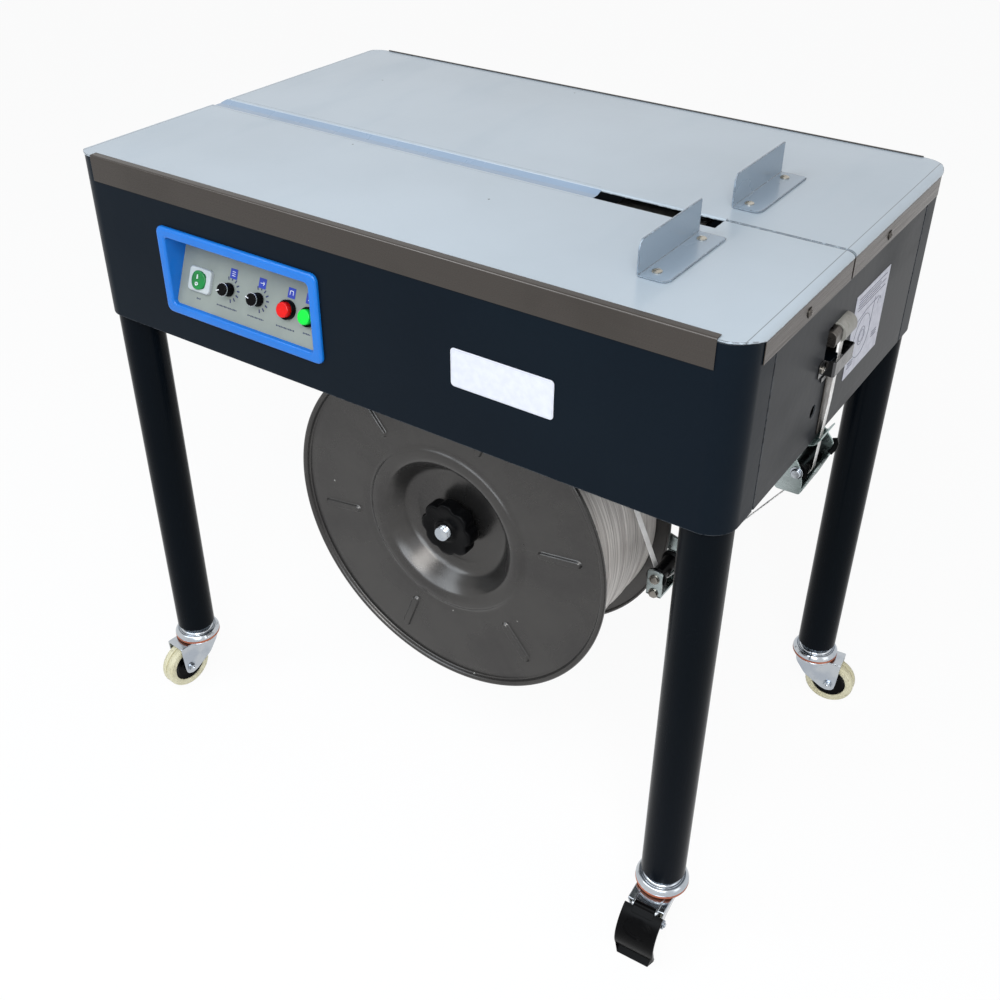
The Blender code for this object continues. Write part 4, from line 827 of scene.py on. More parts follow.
def table_plates():
    """The two plates: the front one folds down into the strap channel and runs under the split."""
    corner_rows = [(-HALF_Y + CORNER_R * (1 - math.cos(math.radians(a))), 0.0) for a in range(0, 91, 10)]
    common = corner_rows + edge_rows(-HALF_Y + CORNER_R + 0.02, WINDOW_Y[0] - 0.004)
    fold = folded_down(WINDOW_Y[0], -1, 0.003)
    turn = np.radians(np.linspace(0, 90, 7))
    near, far = WINDOW_Y[0] - 0.0004, WINDOW_Y[1] + 0.0004
    floor = [(near + 0.005 * math.sin(a), 0.0034 + 0.0011 * (1 - math.cos(a))) for a in turn]
    floor += [(y, CHANNEL_DROP) for y in np.linspace(near + 0.006, far - 0.01, 8)]
    floor += [
        (far - 0.009 * math.cos(a), CHANNEL_DROP - 0.0035 * (1 - math.sin(math.pi / 2 - a))) for a in turn
    ]
    channel = plate_patch(-PLATE_END, WINDOW_X[0], floor, -1)
    # Painted shade: the channel floor takes the darker channel paint.
    show("strap_channel", channel, CHANNEL_SHADE_PAINT, "frame", (), 50)
    full = join(
        plate_patch(-PLATE_END, WINDOW_X[0], common + fold, -1),
        plate_patch(WINDOW_X[0], WINDOW_X[1], common + fold, -1),
        plate_patch(WINDOW_X[1], PLATE_END, common + edge_rows(WINDOW_Y[0] - 0.0016, SPLIT_Y, 4), -1),
    )
    plate = show("table_skin_front", full, PALE, "frame", ["table_plate_front"], 50)
    thicken(plate, TABLE_SHEET, EDGE)
    rows = [(-y, 0.0) for y, _ in corner_rows] + [
        (y, 0.0) for y in np.linspace(HALF_Y - CORNER_R - 0.02, WINDOW_Y[1] + 0.004, 12)
    ]
    lip = folded_down(WINDOW_Y[1], 1, 0.003, 0.0024)
    rear = join(
        plate_patch(-PLATE_END, WINDOW_X[1], rows + lip, 1),
        plate_patch(WINDOW_X[1], PLATE_END, rows + [(WINDOW_Y[1] + 0.0016, 0.0), (WINDOW_Y[1], 0.0)], 1),
    )
    plate = show("table_skin_rear", rear, PALE, "frame", ["table_plate_rear"], 50)
    thicken(plate, TABLE_SHEET, EDGE)
    # Painted shade: two thin dark strips laid on the table along the channel, for the shade in the plates'
    # creases.
    reach = PLATE_END - BULLNOSE_RUN
    rows = [
        (WINDOW_Y[0] - 0.0052, -reach, WINDOW_X[0] - 0.004),
        (WINDOW_Y[1] + 0.0062, -reach, WINDOW_X[0] - 0.004)
    ]
    lines = [
        box((start, y, TABLE_TOP - 0.0002), (end, y + 0.0005, TABLE_TOP + 0.00006), 0.00002) for y, start,
        end in rows
    ]
    show("crease_shade_lines", join(*lines), CREASE_SHADE, "frame")


LYING = {"X": (1, 2, 0), "Y": (0, 2, 1), "Z": (0, 1, 2)}


def pan_screw(place, axis, radius, rise, sign=1.0, cross=True):
    """A domed screw head with a cross or a slot sunk in it.

    Height is a shallow dome less a fixed depth wherever the point lies in the cross or slot.
    """
    share = np.linspace(0, 1, 15)
    dome = np.stack([radius * share, rise * (1 - 0.55 * share**2.2)], 1)
    profile = np.concatenate([dome, [[radius, 0.0], [radius * 0.9, -0.0004]]])

    def sunk(r, angle, height):
        across, along_ = r * np.cos(angle + 0.5), r * np.sin(angle + 0.5)
        width = 0.12 * radius
        in_slot = np.abs(across) < width
        if cross:
            in_slot = (in_slot | (np.abs(along_) < width)) & (r < 0.62 * radius)
        depth = np.where(in_slot & (height > 0.3 * rise), 0.55 * rise, 0.0)
        return r, place_height + sign * (height - depth)

    index = LYING[axis]
    place_height = place[index[2]]
    return lathe(profile, (place[index[0]], place[index[1]]), axis, 72, sunk, closed=False)


def package_stop(name):
    """An L of sheet: a base with cut corners, a bend, and an upright with rounded upper corners.

    The section runs from the base's outer edge through the bend to the top of the upright; at each
    place on it the two ends pull in by the chamfer's or the corner's share.
    """
    low, high = corners(name)
    start, base, top = low[1], TABLE_TOP + 0.0003, high[2]
    line = fillet(
        [(low[0] + 0.036, base), (low[0] + 0.002, base), (low[0] + 0.002, top)], 0.0035, 8, closed=False
    )
    dense = [line[0] + (line[1] - line[0]) * t for t in np.linspace(0, 1, 12)[:-1]]
    near, far, base_near = 0.0075, 0.0012, 0.0085
    height = top - line[-2][1]
    marks = [0, 0.5, 1 - near / height, 1 - 0.5 * near / height, 1 - far / height, 1]
    rise = [line[-2] + (line[-1] - line[-2]) * t for t in marks]
    section = np.array(dense + list(line[1:-2]) + rise)
    on_base = section[:, 1] < base + 1e-4
    from_edge = np.where(on_base, low[0] + 0.036 - section[:, 0], 1.0)
    from_top = top - section[:, 1]
    round_cut = base_near - np.sqrt(np.maximum(base_near**2 - np.maximum(base_near - from_edge, 0) ** 2, 0))
    near_cut = np.maximum(round_cut, np.maximum(near - from_top, 0) * 0.8)
    far_cut = np.maximum(np.maximum(0.002 - from_edge, 0), np.maximum(far - from_top, 0))
    share = np.linspace(0, 1, 25)[None, :]
    y = (start + near_cut)[:, None] * (1 - share) + (high[1] - far_cut)[:, None] * share
    x = np.broadcast_to(section[:, :1], y.shape)
    z = np.broadcast_to(section[:, 1:], y.shape)
    # Painted shade: the stop takes the stop paint, darkened to the tone of its shaded upright.
    piece = show(
        name.replace("package_", "") + "_bracket", grid(np.stack([x, y, z], -1)), STOP_SHADE_PAINT, "frame",
        [name], 60
    )
    thicken(piece, SHEET, EDGE)
    if not toward(piece, (-1, 0, 0)):
        piece.modifiers["wall"].offset = 1
    for number, y_place in enumerate((start + 0.018, high[1] - 0.018)):
        place = (low[0] + 0.0155, y_place, base + 0.0021)
        screw = pan_screw(place, "Z", 0.0054, 0.0026, 1.0, False)
        show(f"{name}_screw_{number}", screw, SCREW, "frame")


def toward(piece, direction):
    """Whether the first faces' average normal leans along a direction."""
    count = len(piece.data.polygons)
    normals = np.zeros(count * 3)
    piece.data.polygons.foreach_get("normal", normals)
    return float(normals.reshape(-1, 3).mean(0) @ np.array(direction)) > 0


# --- cabinet --------------------------------------------------------------------------------


def wrapped_panel(side, holes=()):
    """A long panel: its plan path wraps both corners, and it is carried up from bottom to top.

    The path is two quarter circles joined by a straight; cells of the grid inside a hole are left out.
    """
    seam = SEAM_Y + 0.0034
    left = arc((-LEG_X, -LEG_Y), CORNER_R, 180, 270, 14)
    right = arc((LEG_X, -LEG_Y), CORNER_R, 270, 360, 14)
    cuts = sorted({x for hole in holes for x in hole[0]})
    straight = np.unique(np.concatenate([np.linspace(-LEG_X, LEG_X, 24)[1:-1], cuts]))
    middle = np.stack([straight, np.full(len(straight), -HALF_Y)], 1)
    path = np.concatenate([[[-HALF_X, -seam]], left, middle, right, [[HALF_X, -seam]]])
    levels = np.unique(
        np.concatenate([np.linspace(CABINET_BOTTOM, PANEL_TOP, 8), [z for hole in holes for z in hole[1]]])
    )
    points = np.zeros((len(levels), len(path), 3))
    points[:, :, :2] = path[None]
    share = ((levels - CABINET_BOTTOM) / (PANEL_TOP - CABINET_BOTTOM))[:, None]
    under_plate = TABLE_TOP - 0.0023 - bullnose(path[:, 0])[None]
    rise = np.where(share > 0.94, (share - 0.94) / 0.06, 0) * (under_plate - PANEL_TOP)
    points[:, :, 2] = levels[:, None] + rise
    flat, faces = grid(points)
    middles = np.array([flat[face].mean(0) for face in faces])
    keep = np.ones(len(faces), bool)
    for (x0, x1), (z0, z1) in holes:
        inside = (middles[:, 0] > x0) & (middles[:, 0] < x1) & (middles[:, 2] > z0) & (middles[:, 2] < z1)
        keep &= ~(inside & (middles[:, 1] < -HALF_Y + 0.001))
    faces = [face for face, kept in zip(faces, keep) if kept]
    if side > 0:
        flat = flat * np.array([1, -1, 1])
        faces = [face[::-1] for face in faces]
    return flat, faces


def fold_under(side, half, end, axis):
    """The inward fold along a panel's bottom edge, half being how far the panel stands out."""
    inner, foot = side * (half - 0.0022), CABINET_BOTTOM + 0.0004
    path = [(inner, CABINET_BOTTOM + 0.014), (inner, foot), (side * (half - 0.017), foot)]
    return prism(bent(path, 0.0018 * side, 0.002), -end, end, axis, 0.0003)


def outward(name, shape, finish, body, replaces, thickness, bevel=EDGE, smooth=50):
    """A sheet whose faces look away from the cabinet's middle, given its wall inwards."""
    piece = show(name, shape, finish, body, replaces, smooth)
    centre = np.array([0, 0, 0.76])
    mesh = piece.data
    count = len(mesh.polygons)
    normals, middles = np.zeros(count * 3), np.zeros(count * 3)
    mesh.polygons.foreach_get("normal", normals)
    mesh.polygons.foreach_get("center", middles)
    lean = (normals.reshape(-1, 3) * (middles.reshape(-1, 3) - MIDDLE - centre)).sum()
    if lean < 0:
        mesh.flip_normals()
    thicken(piece, thickness, bevel)
    return piece


def cabinet():
    low, high = corners("control_bezel")
    border = BORDER - 0.003
    opening = ((low[0] + border, high[0] - border), (low[2] + border, high[2] - border))
    outward("front_shell", wrapped_panel(-1, [opening]), DARK, "frame", ["front_panel"], SHEET)
    outward("rear_shell", wrapped_panel(1), DARK, "frame", ["rear_panel"], SHEET)
    for name, side in (("front_fold", -1), ("rear_fold", 1)):
        show(name, fold_under(side, HALF_Y, LEG_X - 0.032, "X"), DARK, "frame")
    entry_low, entry_high = corners("strap_entry_block")
    slot = rounded((entry_low[1] - 0.0003, 0.74), (entry_high[1] + 0.0003, entry_high[2] + 0.0003), 0.0015, 3)
    hole = circle((-0.081, 0.7), 0.008, 40)
    outer = rounded((-SEAM_Y, CABINET_BOTTOM), (SEAM_Y, PANEL_TOP), 0.001, 2)
    for name, side in (("side_panel_left", -1), ("side_panel_right", 1)):
        points, faces = cut_sheet(outer, [slot, hole] if side > 0 else [], SHEET)
        upright = np.stack([side * (HALF_X - SHEET / 2 + points[:, 2]), points[:, 0], points[:, 1]], 1)
        fold = fold_under(side, HALF_X, SEAM_Y - 0.001, "Y")
        # Painted reflection: the side panels take the lighter grey copy of the dark paint.
        show(
            name.replace("panel", "shell"), join((upright, faces), fold), SIDE_REFLECTION_PAINT, "frame",
            [name]
        )


def inner_sheet():
    """A near-black sheet of painted shade inside the right panel, so that its hole and slot look into the
    shade of a closed machine.
    """
    sheet = box(
        (HALF_X - 0.024, -0.15, CABINET_BOTTOM + 0.008), (HALF_X - 0.022, 0.04, PANEL_TOP - 0.01), 0.0004
    )
    backing = box((HALF_X - 0.007, -0.104, 0.664), (HALF_X - 0.0055, -0.058, 0.73), 0.0003)
    show("right_inner_shade_sheet", join(sheet, backing), SHADE_BLACK, "frame")
    # Near-black strips of painted shade behind the seams where the side panels meet the wrapped panels, so
    # that the seams read as dark gaps.
    strips = []
    for side in (-1, 1):
        x = sorted((side * (HALF_X - 0.0035), side * (HALF_X - 0.0024)))
        for y in (-SEAM_Y - 0.012, SEAM_Y - 0.01):
            strips.append(
                box((x[0], y, CABINET_BOTTOM + 0.003), (x[1], y + 0.022, PANEL_TOP - 0.003), 0.0003)
            )
    show("seam_shade_backing", join(*strips), SHADE_BLACK, "frame")


def edge_trims():
    """Folded stainless strips: a wall with a short flange on top, its bend rounded."""
    top = corners("trim_front")[1][2]
    outer = (corners("trim_rear")[1][1] - corners("trim_front")[0][1]) / 2
    for name, side in (("trim_front", -1), ("trim_rear", 1)):
        path = [
            (side * outer, TRIM_LOW), (side * outer, top),
            (side * (outer - (0.01 if side < 0 else 0.0035)), top)
        ]
        outline = bent(path, 0.0011 * side, 0.0028)
        show(
            name.replace("trim", "edge_strip"), prism(outline, -LEG_X, LEG_X, "X", 0.0004), TRIM_X, "frame",
            [name], 60
        )
    for side in (-1, 1):
        ends = [(-LEG_Y, SPLIT_Y), (WINDOW_Y[1], LEG_Y)]
        names = ["trim_right_front", "trim_right_rear"] if side > 0 else [None, None]
        for (start, end), name, part, screw_y in zip(ends, names, ("front", "rear"), (-0.1515, 0.0795)):
            inner, face = side * (HALF_X + 0.0003), side * (PLATE_END - 0.0001)
            outline = rounded((min(inner, face), TRIM_LOW), (max(inner, face), PANEL_TOP + 0.0004), 0.0004, 3)
            strip = prism(outline, start, end, "Y", 0.0004)
            label = ("right" if side > 0 else "left") + "_strip_" + part
            show(label, strip, TRIM_Y, "frame", [name] if name else (), 60)
            screw = pan_screw((side * (PLATE_END - 0.0005), screw_y, 0.8475), "X", 0.005, 0.003, side)
            show(label + "_screw", screw, DULL_STEEL, "frame")
            start = side * (PLATE_END - 0.0004)
            ring = [
                (0.0048, start), (0.006, start), (0.006, start + side * 0.0003),
                (0.0048, start + side * 0.0003)
            ]
            show(
                label + "_screw_shadow", lathe(ring, (screw_y, 0.8475), "X", 36), SHADE_BLACK, "frame",
            )


def legs():
    """Round tubes: a long straight with a turned-in rim at the foot and a welded plate on top."""
    low, high = corners("leg_front_left")
    radius = 0.028
    bottom, top = low[2], high[2]
    wall = 0.002
    flange = (high[0] - low[0]) / 2
    points = [
        (radius - wall, top - 0.004), (radius - wall, bottom), (radius, bottom), (radius, top - 0.004),
        (flange, top - 0.004), (flange, top), (0.004, top), (0.004, top - 0.003),
    ]
    profile = fillet(points, 0.0006, 3)
    for corner in ("front_left", "front_right", "rear_left", "rear_right"):
        name = "leg_" + corner
        low, high = corners(name)
        centre = ((low[0] + high[0]) / 2, (low[1] + high[1]) / 2)
        show(name + "_tube", lathe(profile, centre, "Z", 96), LEG_PAINT, "frame", [name])


# --- casters --------------------------------------------------------------------------------

WHEEL_R, WHEEL_HALF, TRAIL = 0.0375, 0.012, 0.032
CHEEK_IN = WHEEL_HALF + 0.0025
CHEEK_OUT = CHEEK_IN + 0.0025
PIN = (0.049, 0.078)
CORNERS = ("front_left", "front_right", "rear_left", "rear_right")


def hex_bolt(place, axis, across, rise, sign=1.0, washer=1.6, stud=0.0):
    """A hexagonal head whose corners are turned off, over a round washer, with its stud's end.

    The hexagon's radius is across over the cosine of the angle from the middle of its side; near
    the top it is no larger than a cone that starts at the flats.
    """
    index = LYING[axis]
    centre, start = (place[index[0]], place[index[1]]), place[index[2]]
    rings = [(0.0, 1.0), (0.55, 1.0), (0.86, 1.0), (0.98, 0.9), (1.0, 0.78), (1.0, 0.0), (0.5, 0.0)]

    def faceted(radius, angle, height):
        side = np.mod(angle, np.pi / 3) - np.pi / 6
        corner = across / np.cos(side)
        limit = across * (1.16 - 0.9 * np.maximum(height - 0.72, 0))
        scaled = radius * np.minimum(corner, limit)
        return scaled, start + sign * (0.0012 + height * rise)

    head = lathe(rings, centre, axis, 72, faceted, closed=False)
    parts = [head]
    if washer:
        flat = [
            (0.0, 0.0012), (across * washer - 0.0003, 0.0012), (across * washer, 0.0009),
            (across * washer, 0.0), (0.0, 0.0)
        ]
        parts.append(lathe([(r, start + sign * h) for r, h in flat], centre, axis, 48))
    if stud:
        reach = 0.0012 + rise + stud
        threads = np.linspace(0.0012 + rise * 0.5, reach - 0.0006, 16)
        groove = across * 0.56 * (1 - 0.07 * (np.arange(16) % 2))
        profile = [(0.0, start + sign * reach), (across * 0.45, start + sign * reach)]
        profile += [(r, start + sign * h) for r, h in zip(groove[::-1], threads[::-1])]
        parts.append(lathe(profile, centre, axis, 40))
    return join(*parts)


def wheel():
    """Two cream treads either side of a groove, on a hub with a dished face and a boss."""
    half = WHEEL_HALF
    tread = [
        (0.0258, half - 0.0026), (0.0262, half - 0.0008), (0.03, half - 0.0001), (0.0345, half - 0.0006),
        (0.0365, half - 0.0022), (WHEEL_R, half - 0.005), (WHEEL_R, 0.0022), (WHEEL_R - 0.0006, 0.0012),
        (WHEEL_R - 0.0026, 0.0006), (WHEEL_R - 0.003, 0.0),
    ]
    mirrored = [(r, -h) for r, h in tread[:-1]][::-1]
    outline = fillet(tread + mirrored, 0.0009, 3)
    tyre = lathe(outline, (0, 0), "Y", 96)
    hub = [
        (0.0046, half + 0.0016), (0.0084, half + 0.0016), (0.0094, half + 0.0006), (0.01, half - 0.0036),
        (0.013, half - 0.0046), (0.02, half - 0.0044), (0.0232, half - 0.003), (0.0262, half - 0.0022),
        (0.0262, 0.0),
    ]
    back = [(r, -h) for r, h in hub[:-1]][::-1]
    return tyre, lathe(fillet(hub + back, 0.0008, 3), (0, 0), "Y", 72)


def dome(seal_low, seal_top, top):
    """The fixed head: rolled skirt, dome and collar; and the ring of balls' seal between it and the fork."""
    head_r = 0.0335
    skirt = [
        (0.0, seal_top + 0.0006), (head_r - 0.0022, seal_top + 0.0006), (head_r + 0.0002, seal_top + 0.0002),
        (head_r + 0.0006, seal_top + 0.0022), (head_r - 0.0008, seal_top + 0.0052),
        (0.0306, seal_top + 0.008),
        (0.0286, seal_top + 0.0086), (0.0274, seal_top + 0.007), (0.0262, seal_top + 0.0072),
        (0.0252, seal_top + 0.0104), (0.0222, seal_top + 0.0116), (0.0192, seal_top + 0.0124),
        (0.019, top - 0.0012),
        (0.0182, top + 0.0002), (0.0, top + 0.0002),
    ]
    head = lathe(smooth_profile(skirt, 0.0016), (0, 0), "Z", 96)
    plug = lathe(
        [(0.0, top), (0.0256, top + 0.0006), (0.0256, top + 0.012), (0.0, top + 0.012)], (0, 0), "Z", 48
    )
    ring = [
        (0.02, seal_low + 0.0006), (head_r - 0.0002, seal_low + 0.0002), (head_r + 0.0008, seal_low + 0.0016),
        (head_r + 0.0002, seal_top + 0.0004), (0.02, seal_top + 0.0004),
    ]
    return join(head, plug), lathe(fillet(ring, 0.0007, 3), (0, 0), "Z", 96)


def fork(wide):
    """The swivelling horn: a turned crown, and a folded hood whose two cheeks run down round the axle.

    On a braked caster the hood is as wide as the tread: its y grows by a share that rises with height.
    """
    crown = [
        (0.0, 0.0828), (0.0215, 0.0828), (0.03, 0.0822), (0.0316, 0.0806), (0.0312, 0.0786),
        (0.0288, 0.0772), (0.0, 0.0772),
    ]
    parts = [lathe(smooth_profile(crown, 0.0012), (0, 0), "Z", 72)]
    hood_end = 0.0478 if wide else 0.046
    outline = fillet([
        (-0.025, 0.0812), (-0.0225, 0.066), (-0.006, 0.044), (TRAIL - 0.009, WHEEL_R - 0.0105),
        (TRAIL + 0.001, WHEEL_R - 0.0125),
        (TRAIL + 0.01, WHEEL_R - 0.008), (TRAIL + 0.0118, WHEEL_R + 0.003), (hood_end, 0.078),
        (hood_end, 0.0812),
    ], 0.0055, 6)
    ends = [(-0.025, -CHEEK_OUT), (hood_end, -CHEEK_OUT), (hood_end, CHEEK_OUT), (-0.025, CHEEK_OUT)]
    sheets = [prism(fillet(ends, 0.003, 4), 0.0788, 0.0815, "Z", 0.0011, 4)]
    for side in (-1, 1):
        low, high = sorted((side * CHEEK_IN, side * CHEEK_OUT))
        sheets.append(prism(outline, low, high, "Y", 0.0008))
    points, faces = join(*sheets)
    if wide:
        points[:, 1] *= 1 + 0.46 * np.clip((points[:, 2] - 0.052) / 0.026, 0, 1)
    parts.append((points, faces))
    for side in (-1, 1):
        parts.append(hex_bolt((TRAIL, side * CHEEK_OUT, WHEEL_R), "Y", 0.0058, 0.0038, side, 1.35, 0.0016))
    axle = rod(0.004, -CHEEK_OUT, CHEEK_OUT, (TRAIL, WHEEL_R), 24)
    kingpin = lathe(
        [(0.0, 0.0762), (0.0062, 0.0762), (0.0066, 0.077), (0.0066, 0.079), (0.0, 0.079)], (0, 0), "Z", 6
    )
    return join(*parts, axle, kingpin)


def ears():
    """Two lugs at the front of the fork that carry the pedal's pin, and the pin itself."""
    x, z = PIN
    outline = fillet(
        [
            (0.02, 0.0772), (x - 0.001, z - 0.0047), (x + 0.0047, z - 0.002), (x + 0.0047, z + 0.003),
            (x - 0.001, z + 0.0047), (0.02, 0.0828)
        ],
        0.003, 5
    )
    parts = []
    for side in (-1, 1):
        low, high = sorted((side * CHEEK_IN, side * CHEEK_OUT))
        parts.append(prism(outline, low, high, "Y", 0.0006))
        rivet = [
            (0.0, side * (CHEEK_OUT + 0.0012)), (0.0018, side * (CHEEK_OUT + 0.001)),
            (0.0028, side * CHEEK_OUT)
        ]
        parts.append(lathe(rivet, (x, z), "Y", 24))
    return join(*parts)


def pedal():
    """The brake tread: a curved leaf over the front of the wheel, thick at its rolled edges.

    Its section is a band between two circles about the axle; its foot's corners are quarter circles.
    """
    inside, outside = WHEEL_R + 0.004, WHEEL_R + 0.0082
    turn = np.radians(np.concatenate([np.linspace(63, -27, 26), np.linspace(-28, -36, 9)]))
    back = np.stack([TRAIL + inside * np.cos(turn), WHEEL_R + inside * np.sin(turn)], 1)
    front = np.stack([TRAIL + outside * np.cos(turn), WHEEL_R + outside * np.sin(turn)], 1)
    outline = np.concatenate([back, [[TRAIL + 0.0438, 0.0047]], front[::-1]])
    half, corner = 0.0264, 0.006
    points, faces = prism(outline, -half, half, "Y", 0.0012, 4)
    past = np.maximum(corner - (points[:, 2] - 0.0047), 0)
    drawn_in = corner - np.sqrt(np.maximum(corner**2 - past**2, 0))
    points[:, 1] = np.clip(points[:, 1], -half + drawn_in, half - drawn_in)
    leaf = (points, faces)
    rings = []
    for size in (1.0, 0.88, 0.62):
        u = np.linspace(0, 2 * np.pi, 49)[:-1]
        lean = np.radians(30 + 17 * size * np.sin(u))
        ring = np.stack(
            [TRAIL + outside * np.cos(lean), 0.0195 * size * np.cos(u), WHEEL_R + outside * np.sin(lean)], 1
        )
        rings.append(sweep(circle((0, 0), 0.00035, 6), np.concatenate([ring, ring[:1]]), (0, 1, 0.3)))
    x, z = PIN
    inner = CHEEK_IN - 0.0004
    knuckle = lathe(
        fillet([(0.0001, -inner), (0.0045, -inner), (0.0045, inner), (0.0001, inner)], 0.0005, 3), (x, z),
        "Y", 36
    )
    web = prism(
        fillet(
            [
                (x, z + 0.0043), (TRAIL + outside * 0.62, WHEEL_R + outside * 0.79),
                (TRAIL + inside * 0.66, WHEEL_R + inside * 0.75), (x - 0.003, z - 0.0034)
            ],
            0.001
        ),
        -inner, inner, "Y", 0.0006
    )
    return join(leaf, knuckle, web, *rings)


def casters():
    seal_low = corners("caster_head_front_left")[0][2]
    tyre, hub = wheel()
    for corner in CORNERS:
        at, _ = joint_place("swivel_" + corner)
        _, axle = joint_place("wheel_spin_" + corner)
        turn = turned_about_z(math.degrees(math.atan2(-axle[0], axle[1])))
        foot = (at[0], at[1], 0.0)
        head, seal = dome(seal_low, seal_low + 0.0036, corners("leg_" + corner)[0][2] - 0.0003)
        show(
            "caster_dome_" + corner, placed(head, shift=foot), CASTER_ZINC, "frame",
            ["caster_head_" + corner]
        )
        show("caster_seal_" + corner, placed(seal, shift=foot), SEAL, "frame")
        braked = "brake_" + corner in JOINTS
        horn = fork(braked)
        if braked:
            horn = join(horn, ears())
            pedal_at = placed(pedal(), turn, foot)
            show(
                "pedal_tread_" + corner, pedal_at, BLACK, "pedal_" + corner,
                ["brake_pedal_" + corner]
            )
        show(
            "caster_horn_" + corner, placed(horn, turn, foot), CASTER_ZINC, "fork_" + corner,
            ["caster_fork_" + corner]
        )
        ahead = turn @ np.array([TRAIL, 0, 0])
        spot = (foot[0] + ahead[0], foot[1] + ahead[1], WHEEL_R)
        name = "caster_wheel_" + corner
        show("tyre_" + corner, placed(tyre, turn, spot), TYRE, "wheel_" + corner, [name])
        show("hub_" + corner, placed(hub, turn, spot), BLACK, "wheel_" + corner)


# --- control panel --------------------------------------------------------------------------


def ring_of(low, high, radius, inset, depth):
    """A rounded rectangle in X and Z, drawn in by inset, at a place or places along Y."""
    outline = rounded(
        (low[0] + inset, low[1] + inset), (high[0] - inset, high[1] - inset), max(radius - inset, 0.0008), 8
    )
    return along("Y", outline, depth(outline) if callable(depth) else depth)


def bezel():
    """A moulded frame: a border crowned like a quarter ellipse each way, and a sleeve that runs back
    to the tilted plate, so its depth grows with height by the tangent of the plate's tilt.
    """
    low, high = corners("control_bezel")
    face, front = -HALF_Y - 0.0003, low[1]
    a, b = (low[0], low[2]), (high[0], high[2])
    proud = face - front
    inner_a, inner_b = (a[0] + BORDER, a[1] + BORDER), (b[0] - BORDER, b[1] - BORDER)
    slope = PLATE_OUT[2] / -PLATE_OUT[1]
    plate_front = PLATE_AT[1] - (PLATE_AT[2] - inner_a[1]) * slope
    deep = lambda outline: plate_front + (outline[:, 1] - inner_a[1]) * slope + 0.0006
    rings = [ring_of(a, b, 0.009, 0.0, face), ring_of(a, b, 0.009, 0.0, face - 0.35 * proud)]
    for share in np.linspace(10, 90, 9):
        turn = math.radians(share)
        rings.append(
            ring_of(
                a, b, 0.009, 0.0042 * (1 - math.cos(turn)), face - proud * (0.35 + 0.65 * math.sin(turn))
            )
        )
    rings.append(ring_of(a, b, 0.009, 0.0085, front + 0.0002))
    for share in np.linspace(90, 0, 8):
        turn = math.radians(share)
        rings.append(
            ring_of(
                inner_a, inner_b, 0.005, -0.0034 + 0.0034 * math.cos(turn),
                front + 0.003 * (1 - math.sin(turn))
            )
        )
    rings.append(
        ring_of(inner_a, inner_b, 0.005, 0.0, lambda o: np.maximum(deep(o) - 0.0008, front + 0.0034))
    )
    wall = 0.0024
    rings.append(ring_of(inner_a, inner_b, 0.005, 0.0, lambda o: np.maximum(deep(o), front + 0.004)))
    rings.append(ring_of(inner_a, inner_b, 0.005, -wall, lambda o: np.maximum(deep(o), face)))
    rings.append(ring_of(inner_a, inner_b, 0.005, -wall, face))
    return skin(np.array(rings), closed=True, caps=False)


def flat_shape(outline, low, high, bevel=0.0002):
    return prism(np.array(outline), low, high, "Z", bevel)


def bars(rows, height=0.00025):
    """Small printed strokes: each is a thin rounded bar from one point to another, with a width."""
    parts = []
    for (x0, y0), (x1, y1), width in rows:
        ahead = np.array([x1 - x0, y1 - y0])
        length = np.linalg.norm(ahead)
        ahead = ahead / length
        side = np.array([-ahead[1], ahead[0]]) * width / 2
        start, end = np.array([x0, y0]), np.array([x1, y1])
        parts.append(
            prism(
                np.array([start - side, end - side, end + side, start + side]), 0.00004, height, "Z",
                0.00003, 1
            )
        )
    return join(*parts)


